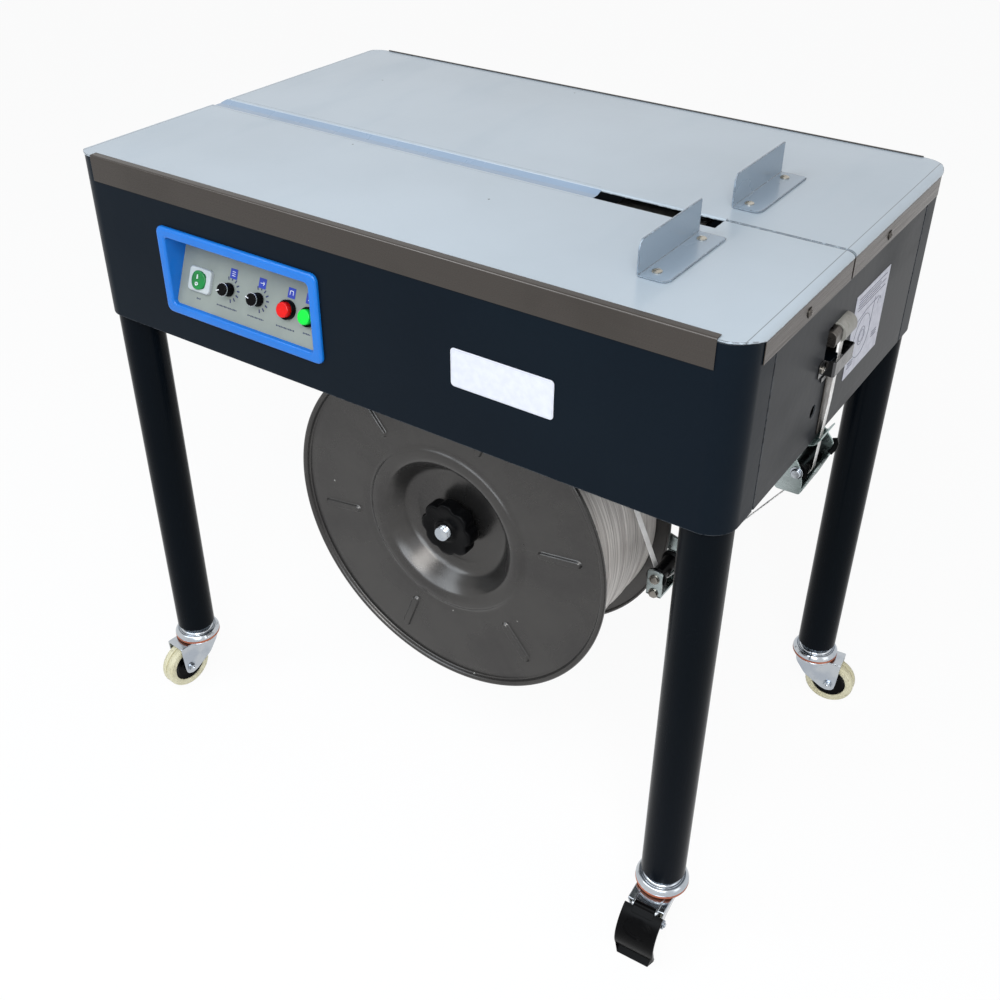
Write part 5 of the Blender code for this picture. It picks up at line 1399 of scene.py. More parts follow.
def controls():
    show("bezel_frame", bezel(), BLUE, "frame", ["control_bezel"])
    low, high = corners("control_bezel")
    plate_x = (low[0] + BORDER - 0.0022, high[0] - BORDER + 0.0022)
    rise = PLATE_UP[2]
    v_low = (low[2] + BORDER - 0.001 - PLATE_AT[2]) / rise
    v_high = (high[2] - BORDER + 0.0018 - PLATE_AT[2]) / rise
    places = {
        name: (corners(name)[0][0] + corners(name)[1][0]) / 2
        for name in ("rocker_switch", "knob_seal_time", "knob_strap_length", "button_stop", "button_feed")
    }
    rocker_x, seal_x, length_x, stop_x, feed_x = places.values()
    holes = [
        circle((rocker_x, 0), 0.0121, 40), circle((stop_x, 0), 0.0096, 32), circle((feed_x, 0), 0.0096, 32)
    ]
    holes += [circle((x, 0), 0.0034, 24) for x in (seal_x, length_x)]
    face = placed(
        cut_sheet(rounded((plate_x[0], v_low), (plate_x[1], v_high), 0.002, 3), holes, 0.002, 0.0003),
        shift=(0, 0, -0.001)
    )
    outer = rounded((rocker_x - 0.018, -0.015), (rocker_x + 0.018, 0.015), 0.005, 8)
    housing_rings = []
    for share in np.linspace(0, 90, 7):
        turn = math.radians(share)
        housing_rings.append(
            along("Z", offset(outer, 0.0022 * (1 - math.cos(turn))), 0.0028 + 0.0022 * math.sin(turn))
        )
    start = along("Z", outer, 0.0001)
    angle = np.arctan2(outer[:, 1], outer[:, 0] - rocker_x)
    round_hole = np.stack([rocker_x + 0.0126 * np.cos(angle), 0.0126 * np.sin(angle)], 1)
    narrowed = (round_hole - [rocker_x, 0]) * 0.965 + [rocker_x, 0]
    inner_rings = [along("Z", round_hole, 0.005), along("Z", narrowed, 0.004), along("Z", narrowed, 0.0001)]
    housing = skin(np.array([start, *housing_rings, *inner_rings]), closed=True, caps=False)
    show("plate_face", on_plate(face), PLATE_GREY, "frame", ["control_plate"])
    show("rocker_surround", on_plate(housing), HOUSING, "frame")
    collar = [
        (0.0096, 0.0002), (0.0118, 0.0002), (0.0118, 0.0058), (0.011, 0.007), (0.01, 0.007), (0.0096, 0.006)
    ]
    rings = [lathe(fillet(collar, 0.0006, 3), (x, 0), "Z", 60) for x in (stop_x, feed_x)]
    show("button_collars", on_plate(join(*rings)), BLACK, "frame")

    def saddle(radius, angle, height):
        """The rocker's face dips across its middle: by the square of the distance along the plate's rise."""
        across = radius * np.sin(angle) / 0.0118
        return radius, np.where(height > 0.004, height - 0.0016 + 0.0022 * across**2, height)

    cap = [
        (0.0, 0.0092), (0.004, 0.0092), (0.008, 0.009), (0.0108, 0.0084), (0.0117, 0.0072), (0.0118, 0.003),
        (0.006, 0.0), (0.0, 0.0)
    ]
    lens = lathe(smooth_profile(cap, 0.0012), (rocker_x, 0), "Z", 72, saddle, closed=False)
    show("rocker_lens", on_plate(lens), GREEN, "rocker", ["rocker_switch"])
    mark = placed(
        flat_shape(rounded((-0.0006, 0.0015), (0.0006, 0.007), 0.0004, 3), 0.0074, 0.0092),
        shift=(rocker_x, 0, 0)
    )
    ring_mark = lathe(
        [(0.0014, 0.0079), (0.0022, 0.0079), (0.0022, 0.009), (0.0014, 0.009)], (rocker_x, -0.0045), "Z", 32
    )
    show("rocker_marks", on_plate(join(mark, ring_mark)), WHITE_INK, "rocker")

    def fluted(radius, angle, height):
        """Fine grips: above the skirt the radius dips by a rounded cosine, sixteen times a turn."""
        grip = 0.00045 * np.abs(np.cos(8 * angle)) ** 0.7
        return np.where((radius > 0.0066) & (height > 0.003), radius - grip, radius), height

    for name, body, x in (
        ("knob_seal_time", "seal_knob", seal_x), ("knob_strap_length", "length_knob", length_x)
    ):
        shape = [
            (0.0, 0.0154), (0.0068, 0.0154), (0.0077, 0.0146), (0.008, 0.005), (0.0084, 0.0042),
            (0.0084, 0.0012), (0.003, 0.001), (0.003, -0.009), (0.0, -0.009)
        ]
        knob = lathe(smooth_profile(shape, 0.0006, 3), (x, 0), "Z", 128, fluted, closed=False)
        ring = lathe(
            fillet([(0.007, 0.0122), (0.00835, 0.0122), (0.00835, 0.0134), (0.007, 0.0134)], 0.0002, 2),
            (x, 0), "Z", 64
        )
        turn = turned_about_z(200 if body == "seal_knob" else 165)
        pointer = placed(box((0.003, -0.0005, 0.015), (0.0078, 0.0005, 0.0157), 0.0002), turn, (x, 0, 0))
        side = placed(box((0.0074, -0.0005, 0.005), (0.0082, 0.0005, 0.0158), 0.0002), turn, (x, 0, 0))
        show(name + "_grip", on_plate(knob), BLACK, body, [name])
        show(name + "_ring", on_plate(ring), CASTER_ZINC, body)
        show(name + "_pointer", on_plate(join(pointer, side)), WHITE_INK, body)
    for name, body, x, colour in (
        ("button_stop", "stop_key", stop_x, RED), ("button_feed", "feed_key", feed_x, LIME)
    ):
        shape = [
            (0.0, 0.0124), (0.006, 0.0126), (0.008, 0.0126), (0.009, 0.0118), (0.0092, 0.01),
            (0.0092, -0.0036), (0.0, -0.0036)
        ]
        cap = lathe(smooth_profile(shape, 0.0008, 4), (x, 0), "Z", 72)
        show(name + "_cap", on_plate(cap), colour, body, [name])

    ticks = []
    for x in (seal_x, length_x):
        for turn in np.linspace(math.radians(-75), math.radians(108), 8):
            ticks.append(
                (
                    (x + 0.0116 * math.cos(turn), 0.0116 * math.sin(turn)),
                    (x + 0.0158 * math.cos(turn), 0.0158 * math.sin(turn)), 0.0016
                )
            )
    show("dial_ticks", on_plate(bars(ticks)), TICK_INK, "frame")
    legends = []
    for x, wide in ((rocker_x, 0.008), (seal_x, 0.034), (length_x, 0.027), (stop_x, 0.029), (feed_x, 0.012)):
        drop = {rocker_x: -0.0232, feed_x: -0.0204}.get(x, -0.0222)
        for k in range(int(wide / 0.0024)):
            start = x - wide / 2 + k * 0.0024
            legends.append(((start, drop), (start + 0.0017, drop), 0.0011 + 0.0007 * (k % 3 != 1)))
    show("control_legends", on_plate(bars(legends)), DARK_INK, "frame")
    icons, drawn = [], []
    for kind, x in enumerate((seal_x + 0.003, length_x + 0.002, stop_x + 0.001, feed_x - 0.0039)):
        y = 0.02
        icons.append(
            flat_shape(
                rounded((x - 0.0057, y - 0.0061), (x + 0.0057, y + 0.0061), 0.0006, 3), 0.00005, 0.00035,
                0.0001
            )
        )
        strokes = {
            0: [
                ((-0.0022, -0.002), (0.0022, -0.002), 0.0007), ((-0.0022, 0.0), (0.0022, 0.0), 0.0007),
                ((-0.0022, 0.002), (0.0022, 0.002), 0.0007)
            ],
            1: [
                ((-0.0026, 0.0), (0.0026, 0.0), 0.0007), ((0.001, 0.0018), (0.0028, 0.0), 0.0007),
                ((0.001, -0.0018), (0.0028, 0.0), 0.0007)
            ],
            2: [
                ((-0.002, -0.002), (-0.002, 0.002), 0.0008), ((0.002, -0.002), (0.002, 0.002), 0.0008),
                ((-0.002, 0.002), (0.002, 0.002), 0.0008)
            ],
            3: [((-0.002, -0.002), (0.002, 0.002), 0.0008), ((-0.002, 0.002), (0.0, 0.0), 0.0008)],
        }[kind]
        drawn += [
            ((x + 1.2 * a[0], y + 1.2 * a[1]), (x + 1.2 * b[0], y + 1.2 * b[1]), width) for a, b,
            width in strokes
        ]
    show("control_icons", on_plate(join(*icons)), NAVY_INK, "frame")
    show(
        "control_pictograms", on_plate(placed(bars(drawn), shift=(0, 0, 0.0003))), WHITE_INK, "frame",
    )


def labels():
    """The blank plate on the front, and the folded guide sheet behind its clip on the right."""
    outline = rounded((0.1206, 0.725), (0.249, 0.771), 0.0045, 6)
    plate = prism(outline, -HALF_Y - 0.0013, -HALF_Y - 0.0001, "Y", 0.0004)
    show("front_label", plate, LABEL, "frame")
    rim = offset(outline, 0.0013 if area(outline) > 0 else -0.0013)
    inner = offset(outline, 0.0018 if area(outline) > 0 else -0.0018)
    border = skin(
        np.array(
            [
                along("Y", rim, -HALF_Y - 0.00135), along("Y", rim, -HALF_Y - 0.0014),
                along("Y", inner, -HALF_Y - 0.0014), along("Y", inner, -HALF_Y - 0.00135)
            ]
        ),
        closed=True, caps=False
    )
    show("front_label_border", border, PAPER, "frame")
    face = HALF_X + 0.0001
    low, high = (0.006, 0.697), (0.1135, 0.8005)
    sheet_ = prism(rounded(low, high, 0.001, 3), face, face + 0.0005, "X", 0.0001, 2)
    show("guide_sheet", sheet_, PAPER, "frame")
    centre = (0.046, 0.738)
    strokes = []

    def stroke(points, width):
        return sweep(circle((0, 0), width / 2, 6), [(face + 0.0005, y, z) for y, z in points], (1, 0, 0))

    drawn = [arc(centre, radius, 0, 360, 48) for radius in (0.026, 0.011, 0.0075)]
    drawn.append([(0.072, 0.738), (0.073, 0.76), (0.075, 0.775)])
    drawn.append([(0.02, 0.764), (0.05, 0.77), (0.088, 0.771)])
    drawn.append([(0.086, 0.762), (0.092, 0.77), (0.098, 0.764)])
    strokes += [stroke(points, 0.0006) for points in drawn]
    for row in range(5):
        strokes.append(
            stroke(
                [(0.016, 0.7935 - 0.0035 * row), (0.104 - 0.018 * (row % 2), 0.7935 - 0.0035 * row)], 0.0007
            )
        )
    for row in range(3):
        strokes.append(
            stroke([(0.013 + 0.002 * (row % 2), 0.715 - 0.003 * row), (0.03, 0.715 - 0.003 * row)], 0.0007)
        )
        strokes.append(stroke([(0.086, 0.725 - 0.003 * row), (0.103, 0.725 - 0.003 * row)], 0.0007))
    show("guide_sheet_lines", join(*strokes), DARK_INK, "frame")


# --- reel -----------------------------------------------------------------------------------


def rib_height(radius, angle, start=0.138, end=0.2, width=0.0125, rise=0.0038, first=9.5):
    """Six pressed ribs: each is a raised stadium round a radial line, its side a smooth step."""
    turn = np.mod(np.degrees(angle) - first + 30, 60) - 30
    along_, across = radius * np.cos(np.radians(turn)), radius * np.sin(np.radians(turn))
    half = width / 2
    nearest = np.clip(along_, start + half, end - half)
    distance = np.hypot(along_ - nearest, across)
    share = np.clip((half - distance) / 0.003, 0, 1)
    return rise * share**2 * (3 - 2 * share)


def reel_flange():
    """The pressed front flange: hub dish, ring, flat with six ribs and a curled rim."""
    low, high = corners("reel_front_flange")
    front, outer = low[1], (high[0] - low[0]) / 2
    floor = front + 0.035
    flat = front + 0.0048
    profile = [
        (0.0084, floor), (0.069, floor), (0.078, floor - 0.005), (0.0905, front + 0.011),
        (0.097, front + 0.003),
        (0.104, front + 0.0006), (0.113, front + 0.0012), (0.1165, front + 0.004), (0.12, flat + 0.0006),
    ]
    dish = fillet(profile + [(0.13, flat)], 0.006, 8, closed=False)
    plain = [(r, flat) for r in np.arange(0.132, 0.208, 0.0013)]
    rim = fillet([
        (0.212, flat), (outer - 0.0088, flat + 0.001), (outer - 0.007, front + 0.0012),
        (outer - 0.0048, front - 0.0004), (outer - 0.0016, front + 0.0002),
        (outer - 0.0002, front + 0.0022), (outer - 0.0002, front + 0.0052), (outer - 0.002, front + 0.0066),
        (outer - 0.0046, front + 0.0066),
    ], 0.0014, 4, closed=False)
    line = np.concatenate([dish, plain, rim])
    back = [
        (outer - 0.0062, flat + 0.0013), (0.2, flat + 0.0013), (0.1205, flat + 0.002),
        (0.115, front + 0.005), (0.103, front + 0.003), (0.0985, front + 0.006), (0.08, floor - 0.003),
        (0.069, floor + 0.0014), (0.0084, floor + 0.0014)
    ]
    outline = np.concatenate([line, back])
    front_count = len(line)

    def ribbed(radius, angle, height):
        rows = np.arange(len(radius))[:, None] < front_count
        return radius, height - np.where(rows, rib_height(radius, angle), 0)

    return lathe(outline, REEL, "Y", 576, ribbed, crowd=(6, 9.5))


def rear_flange():
    """The back flange with its rolled edge and ribs, the core tube and the hub."""
    low, high = corners("reel_drum")
    back, outer = high[1], 0.2317
    flat = back - 0.0009
    line = [(0.0117, flat), (0.02, flat)] + [(r, flat) for r in np.arange(0.026, 0.222, 0.004)]
    rim = [
        (0.2262, flat), (0.2276, back - 0.0001), (0.23, back - 0.0001), (outer, back - 0.0014),
        (outer, back - 0.0036), (0.2296, back - 0.0045), (0.228, back - 0.0036), (0.228, flat - 0.0011)
    ]
    inner = [
        (0.103, flat - 0.0011), (0.103, low[1] + 0.012), (0.1012, low[1] + 0.012), (0.1012, flat - 0.01),
        (0.02, flat - 0.01), (0.02, low[1] + 0.042), (0.0117, low[1] + 0.042)
    ]
    outline = np.array(line + rim + inner)
    count = len(line)

    def ribbed(radius, angle, height):
        rows = np.arange(len(radius))[:, None] < count
        return radius, height + np.where(rows, rib_height(radius, angle, 0.12, 0.19, 0.012, 0.0008, 24.0), 0)

    return lathe(outline, REEL, "Y", 240, ribbed)


def stud():
    """The axle's threaded end: a chamfered rod whose radius rises and falls along a helix."""
    low, _ = corners("reel_drum")
    front = low[1] - 0.0015
    heights = np.concatenate(
        [
            [front, front, front + 0.0008], np.arange(front + 0.0011, front + 0.018, 0.00022),
            [front + 0.0425]
        ]
    )
    radii = np.full(len(heights), 0.0095)
    radii[:3] = (0.0, 0.008, 0.009)

    def threaded(radius, angle, height):
        cut = 0.00045 * (0.5 + 0.5 * np.cos(2 * np.pi * height / 0.00125 - angle))
        inside = (height > front + 0.001) & (height < front + 0.018) & (radius > 0.0075)
        return np.where(inside, radius - cut, radius), height

    return lathe(
        np.stack([np.append(radii, 0.0), np.append(heights, front + 0.0425)], 1), REEL, "Y", 48, threaded,
        closed=False
    )


def coil():
    """The wound strap: turns side by side along Y under a sparser layer that crosses them.

    The radius is a base plus a rounded band for each turn, whose place along Y slips by a whole
    number of pitches in one turn of the reel; the crossing layer slips the other way.
    """
    low, high = corners("strap_coil")
    outer = 0.2118
    y = np.concatenate([[low[1]], np.arange(low[1] + 0.0004, high[1] - 0.0004, 0.0009), [high[1]]])[:, None]
    angle = np.linspace(0, 2 * np.pi, 420, endpoint=False)[None, :]

    def band(place, pitch, width, soft):
        within = np.mod(place, pitch)
        edge = np.minimum(within, width - within)
        return np.clip(edge / soft, 0, 1) ** 0.6

    waver = 0.0012 * np.sin(3 * angle + y * 90)
    first = band(y + waver + 0.0294 * angle / (2 * np.pi), 0.0098, 0.0094, 0.001)
    second = band(y - 0.074 * angle / (2 * np.pi) + 0.001 * np.sin(2 * angle), 0.037, 0.0092, 0.0008)
    third = band(y + 0.124 * angle / (2 * np.pi), 0.062, 0.0092, 0.0008)
    radius = outer - 0.0018 + 0.0006 * np.clip(first, 0, 1) + 0.0006 * np.clip(
        second, 0, 1
    ) + 0.0006 * np.clip(third, 0, 1)
    inner = 0.1034
    rows = [np.full((1, 420), inner), radius, np.full((1, 420), inner)]
    heights = [np.full((1, 1), low[1]), y, np.full((1, 1), high[1])]
    radius, height = np.concatenate(rows), np.broadcast_to(np.concatenate(heights), (len(y) + 2, 420))
    turn = np.broadcast_to(angle, radius.shape)
    rings = np.stack([REEL[0] + radius * np.cos(turn), height, REEL[1] + radius * np.sin(turn)], -1)
    return skin(rings, closed=True, caps=False)


def star_knob():
    """The clamping knob: eight rounded lobes with narrow flutes between them, and a stepped boss.

    The rim's radius is the largest less a flute's depth times a high power of the cosine of
    four times the angle, and the flutes fade out towards the boss.
    """
    low, high = corners("reel_star_knob")
    front, back, rim = low[1] - 0.004, high[1], 0.0386
    profile = [
        (0.0101, front), (0.0132, front), (0.0142, front + 0.0006), (0.015, front + 0.0022),
        (0.0175, front + 0.003),
        (0.029, front + 0.0018), (0.034, front + 0.0016), (0.037, front + 0.0026), (rim, front + 0.006),
        (rim, back - 0.014),
        (0.0372, back - 0.0105), (0.033, back - 0.0086), (0.0225, back - 0.007), (0.0192, back - 0.003),
        (0.0175, back), (0.0101, back),
    ]

    def lobed(radius, angle, height):
        flute = np.abs(np.sin(4 * angle)) ** 5
        fade = np.clip((radius - 0.022) / 0.016, 0, 1) ** 1.5
        return radius - 0.0042 * flute * fade, height

    grip = lathe(fillet(profile, 0.0012, 4), REEL, "Y", 192, lobed)
    screw_at = (REEL[0] + 0.012, back - 0.005, REEL[1] + 0.015)
    set_screw = lathe(
        [(0.0, 0.0), (0.0026, 0.0), (0.0028, 0.0006), (0.0028, 0.012), (0.0, 0.012)], (0, 0), "Z", 24
    )
    lean = np.array([[0.78, 0, 0.62], [0, 1, 0], [-0.62, 0, 0.78]])
    return grip, placed(set_screw, lean, screw_at)


def reel():
    show("flange_front", reel_flange(), REEL_FINISH, "reel", ["reel_front_flange"], 50)
    show("drum_and_flange", rear_flange(), REEL_FINISH, "reel", ["reel_drum"], 50)
    show("reel_stud", stud(), CASTER_ZINC, "reel", (), 50)
    show("wound_strap", coil(), COIL, "reel", ["strap_coil"], 60, False)
    grip, set_screw = star_knob()
    show("star_knob_grip", grip, BLACK, "star_knob", ["reel_star_knob"])
    show("star_knob_screw", set_screw, BLACK, "star_knob")
    low, _ = corners("reel_drum")
    washer = lathe(
        fillet(
            [
                (0.0099, low[1] + 0.011), (0.0136, low[1] + 0.011), (0.0138, low[1] + 0.0128),
                (0.0099, low[1] + 0.0128)
            ],
            0.0004, 3
        ),
        REEL, "Y", 48
    )
    show("reel_washer", washer, ZINC, "star_knob")


# --- rollers, brackets and strap ------------------------------------------------------------


def spool(centre, barrel, disc, low, high):
    """A flanged guide roller with a waisted barrel and rounded rims."""
    middle = (low + high) / 2
    heights = np.linspace(low + 0.0052, high - 0.0052, 13)
    waist = barrel - 0.0008 * (1 - ((heights - middle) / (high - middle - 0.0052)) ** 2)
    profile = [
        (0.0046, low), (disc - 0.0008, low), (disc, low + 0.001), (disc - 0.0004, low + 0.003),
        (barrel + 0.0006, low + 0.0046)
    ]
    profile += list(zip(waist, heights))
    profile += [
        (barrel + 0.0006, high - 0.0046), (disc - 0.0004, high - 0.003), (disc, high - 0.001),
        (disc - 0.0008, high), (0.0046, high)
    ]
    return lathe(fillet(profile, 0.0005, 2), centre, "Y", 72)


def dancer():
    """The sprung arm: a flat bar with an eye, the cross web, two ears, their bolts and the roller."""
    x, z = DANCER_ROLLER_AT[0], DANCER_ROLLER_AT[2]
    px, pz = DANCER_AT[0], DANCER_AT[2]
    low, high = corners("dancer_roller")
    low_y, high_y = low[1], high[1]
    bar_y = (-0.0605, -0.0555)
    half, wall = 0.01, 0.003
    web_z = z - 0.0135 - 0.0125
    outline = fillet(
        [
            (x - half, web_z), (x + half, web_z), (x + half, z + 0.01), (x + 0.004, z + 0.0125),
            (x - 0.004, z + 0.0125), (x - half, z + 0.01)
        ],
        0.003, 5
    )
    gap = 0.0003
    parts = [
        prism(outline, low_y - gap - wall, low_y - gap, "Y", 0.0006),
        prism(outline, high_y + gap, high_y + gap + wall, "Y", 0.0006)
    ]
    parts.append(box((x - half, low_y - gap - wall, web_z), (x + half, bar_y[1], web_z + wall), 0.0006))
    lean = math.atan2(web_z + 0.006 - pz, x - px)
    across = np.array([-math.sin(lean), math.cos(lean)]) * 0.011
    start, end = np.array([px, pz]), np.array([x, web_z + 0.008])
    bar = prism(
        fillet([start - across, end - across, end + across, start + across], 0.003, 4), *bar_y, "Y", 0.0006
    )
    eye = lathe(
        fillet([(0.0064, bar_y[0]), (0.013, bar_y[0]), (0.013, bar_y[1]), (0.0064, bar_y[1])], 0.0006, 3),
        (px, pz), "Y", 64
    )
    axle = rod(0.004, low_y - 0.005, high_y + 0.006, (x, z), 32)
    bolts = [
        hex_bolt((x, low_y - gap - wall, bolt_z), "Y", 0.0052, 0.0022, -1, 1.25)
        for bolt_z in (z, z - 0.021)
    ]
    nut = hex_bolt((x, high_y + gap + wall, z), "Y", 0.005, 0.0016, 1, 0)
    show("dancer_bar", join(bar, eye), ZINC, "dancer", ["dancer_arm"])
    show("dancer_ears", join(*parts, axle, nut), ZINC, "dancer")
    show("dancer_bolts", join(*bolts), STEEL, "dancer")
    show(
        "dancer_spool", spool((x, z), 0.01, 0.0135, low_y, high_y), BLACK, "dancer_wheel",
        ["dancer_roller"]
    )


def side_guide():
    """The bracket below the right end: two plates, a web between them, the roller and its bolt."""
    x, z = SIDE_ROLLER_AT[0], SIDE_ROLLER_AT[2]
    low, high = corners("side_roller")
    low_y, high_y, gap, wall = low[1], high[1], 0.0003, 0.002
    finger = [
        (0.46, high_y - 0.004, 0.623), (0.464, high_y - 0.004, 0.63), (0.4655, high_y - 0.004, 0.638),
        (0.463, high_y - 0.004, 0.644)
    ]
    top = CABINET_BOTTOM - gap
    near = fillet(
        [
            (0.395, top), (0.404, 0.612), (0.418, 0.583), (0.4472, 0.584), (0.448, 0.6), (0.444, 0.618),
            (0.437, 0.628), (0.43, top)
        ],
        0.003, 5
    )
    rear = fillet(
        [
            (0.395, top), (0.404, 0.612), (0.418, 0.583), (0.4472, 0.584), (0.4606, 0.62), (0.4606, 0.636),
            (0.4465, top)
        ],
        0.004, 5
    )
    parts = [
        prism(near, low_y - gap - wall, low_y - gap, "Y", 0.0005),
        prism(rear, high_y + gap, high_y + gap + wall, "Y", 0.0005)
    ]
    tab = prism(
        bent([(0.4459, 0.6467), (0.453, 0.65), (0.4593, 0.66)], 0.0016, 0.002), low_y + 0.003, high_y, "Y",
        0.0004
    )
    parts.append(tab)
    span = (low_y - gap - wall + 0.0004, high_y + gap + wall - 0.0004)
    web = bent([(0.4285, 0.5842), (0.447, 0.5842), (0.4604, 0.6203)], 0.0018, 0.004)
    parts.append(prism(web, *span, "Y", 0.0004))
    parts.append(box((0.3962, span[0], top - wall), (0.437, span[1], top - 0.0004), 0.0006))
    axle = rod(0.004, span[0] - 0.002, span[1] + 0.002, (x, z), 32)
    head_at = low_y - gap - wall
    head = lathe(
        fillet(
            [
                (0.0, head_at - 0.0048), (0.005, head_at - 0.0048), (0.0056, head_at - 0.004),
                (0.0056, head_at - 0.0012), (0.0076, head_at - 0.001), (0.0078, head_at), (0.0, head_at)
            ],
            0.0003, 3, closed=False
        ),
        (x, z), "Y", 64
    )
    show("guide_bracket", join(*parts, axle), ZINC, "frame", ["side_roller_bracket"])
    show("guide_bolt", head, CASTER_ZINC, "frame")
    hook = sweep(rounded((-0.003, -0.0009), (0.003, 0.0009), 0.0006, 3), finger, (0, 1, 0))
    show("guide_finger", hook, BLACK, "frame")
    show(
        "guide_spool", spool((x, z), 0.01, 0.0115, low_y, high_y), BLACK, "guide_wheel",
        ["side_roller"]
    )


def strap_guide():
    """On the right panel: the U clamp and its screw, the strip below it and the rounded entry block."""
    low, high = corners("strap_entry_block")
    face = HALF_X + 0.0003
    outer = high[0]
    y0, y1 = low[1] - 0.0003, high[1] + 0.0003
    path = [(face, y0 - 0.014), (face, y0), (outer, y0), (outer, y1), (face, y1), (face, y1 + 0.009)]
    clamp = prism(bent(path, -0.0012, 0.0018), 0.743, 0.761, "Z", 0.0003)
    strip = box((face, STRAP_Y - 0.0115, 0.66), (face + 0.0015, STRAP_Y + 0.0115, 0.734), 0.0005)
    link = box((face, -0.075, 0.733), (face + 0.0015, -0.018, 0.7385), 0.0005)
    show("strap_clip", join(clamp, link), CLIP_STEEL, "frame", ["strap_clamp"])
    show("strap_strip", strip, DULL_STEEL, "frame")
    screw = pan_screw((face + 0.0014, -0.081, 0.7525), "X", 0.0044, 0.0032, 1.0)
    show("strap_clip_screw", screw, STEEL, "frame")
    top = high[2]
    split = y0 + 0.021
    nose = [
        (HALF_X - 0.012, low[2]), (outer - 0.002, low[2]), (outer, low[2] + 0.004),
        *arc((outer - 0.012, top - 0.012), 0.012, 0, 90, 10), (HALF_X - 0.012, top)
    ]
    block_ = prism(np.array(nose), split, y1 - 0.0004, "Y", 0.0008)
    dark_nose = [
        (HALF_X - 0.012, low[2]), (outer - 0.0045, low[2]), (outer - 0.0035, low[2] + 0.004),
        (outer - 0.0035, top - 0.006), (outer - 0.008, top - 0.002), (HALF_X - 0.012, top - 0.002)
    ]
    guard = prism(fillet(dark_nose, 0.002), y0 + 0.0004, split - 0.0006, "Y", 0.0005)
    show("entry_block", block_, ENTRY, "frame", ["strap_entry_block"])
    show("entry_guard", guard, DULL_STEEL, "frame")


def strap():
    """The strap's ribbon: off the coil, under the dancer roller, over the side roller, up the guide.

    Its centre line is straight between arcs that wrap the rollers; the section is a flat rectangle
    with rounded edges, its long side along Y and its short side square to the line.
    """
    half = 0.0004
    gap = 0.0003
    low, high = corners("dancer_roller")
    first_y = (low[1] + high[1]) / 2
    centre, wrap = np.array([DANCER_ROLLER_AT[0], DANCER_ROLLER_AT[2]]), 0.01 + gap + half
    side, side_wrap = np.array([SIDE_ROLLER_AT[0], SIDE_ROLLER_AT[2]]), 0.01 + gap + half
    start_angle = math.radians(24)
    start = np.array(REEL) + (0.212 + gap + half) * np.array([math.cos(start_angle), math.sin(start_angle)])
    across = side - centre
    incoming = math.degrees(math.atan2(across[1], across[0])) - 90
    lean = math.degrees(math.asin((side_wrap - wrap) / np.linalg.norm(across)))
    leave = incoming + lean
    apart = start - centre
    arrive = math.degrees(math.atan2(apart[1], apart[0])) + math.degrees(
        math.acos(wrap / np.linalg.norm(apart))
    )
    first = arc(centre, wrap, arrive, 360 + leave, 28)
    second = arc(side, side_wrap, leave, 4, 14)
    run_in = [start + (first[0] - start) * t for t in np.linspace(0, 1, 8)[:-1]]
    cross = [first[-1] + (second[0] - first[-1]) * t for t in np.linspace(0, 1, 12)[1:-1]]
    guide = np.array([[HALF_X + 0.006, 0.7], [HALF_X + 0.0066, 0.737], [HALF_X + 0.007, 0.7735]])
    up = [second[-1] + (guide[0] - second[-1]) * t for t in np.linspace(0, 1, 8)[1:-1]]
    line = np.concatenate([run_in, first, cross, second, up, guide])
    y = np.concatenate(
        [
            np.full(len(run_in) + len(first), first_y), np.linspace(first_y, STRAP_Y, len(cross) + 2)[1:-1],
            np.full(len(second) + len(up) + len(guide), STRAP_Y)
        ]
    )
    ahead = np.gradient(line, axis=0)
    ahead /= np.linalg.norm(ahead, axis=1, keepdims=True)
    out = np.stack([-ahead[:, 1], ahead[:, 0]], 1)
    section = rounded((-0.0045, -half), (0.0045, half), 0.0003, 2)
    rings = np.zeros((len(line), len(section), 3))
    rings[:, :, 0] = line[:, :1] + section[None, :, 1] * out[:, :1]
    rings[:, :, 1] = y[:, None] + section[None, :, 0]
    rings[:, :, 2] = line[:, 1:] + section[None, :, 1] * out[:, 1:]
    middle = len(run_in) + len(first) // 2
    supply = show("strap_from_coil", skin(rings[: middle + 1]), STRAP, None)
    drawn = show("strap_ribbon", skin(rings[middle:]), STRAP, None, ["strap_run"])
    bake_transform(supply)
    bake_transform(drawn)


def hanger():
    """What carries the reel: a shaped plate with a folded top, its boss and the axle."""
    _, high = corners("reel_hanger")
    beam_low = high[2]
    plate_y = (-0.044, -0.039)
    outline = fillet(
        [
            (-0.04, beam_low - 0.001), *arc(REEL, 0.036, 200, 290, 8), (0.176, 0.452), (0.19, 0.5),
            (0.27, beam_low - 0.001)
        ],
        0.004, 4
    )
    parts = [
        prism(outline, *plate_y, "Y", 0.0006),
        box((-0.04, plate_y[0], beam_low - 0.005), (0.27, high[1], beam_low), 0.0006)
    ]
    end = corners("reel_front_flange")[0][1] + 0.035 + 0.0015 + 0.006
    axle = [
        (0.0, plate_y[1]), (0.016, plate_y[1]), (0.016, -0.0664), (0.0112, -0.0664), (0.0112, end),
        (0.0, end)
    ]
    parts.append(lathe(smooth_profile(axle, 0.0006, 3), REEL, "Y", 48))
    pivot = [(0.0, plate_y[1]), (0.006, plate_y[1]), (0.006, -0.0625), (0.0, -0.0625)]
    parts.append(lathe(smooth_profile(pivot, 0.0005, 3), (DANCER_AT[0], DANCER_AT[2]), "Y", 40))
    parts.append(hex_bolt((REEL[0], plate_y[1], REEL[1]), "Y", 0.012, 0.007, 1, 1.3, 0.004))
    parts.append(hex_bolt((DANCER_AT[0], plate_y[1], DANCER_AT[2]), "Y", 0.0065, 0.004, 1, 1.3, 0.002))
    show("hanger_plate", join(*parts), ZINC, "frame", ["reel_hanger"])


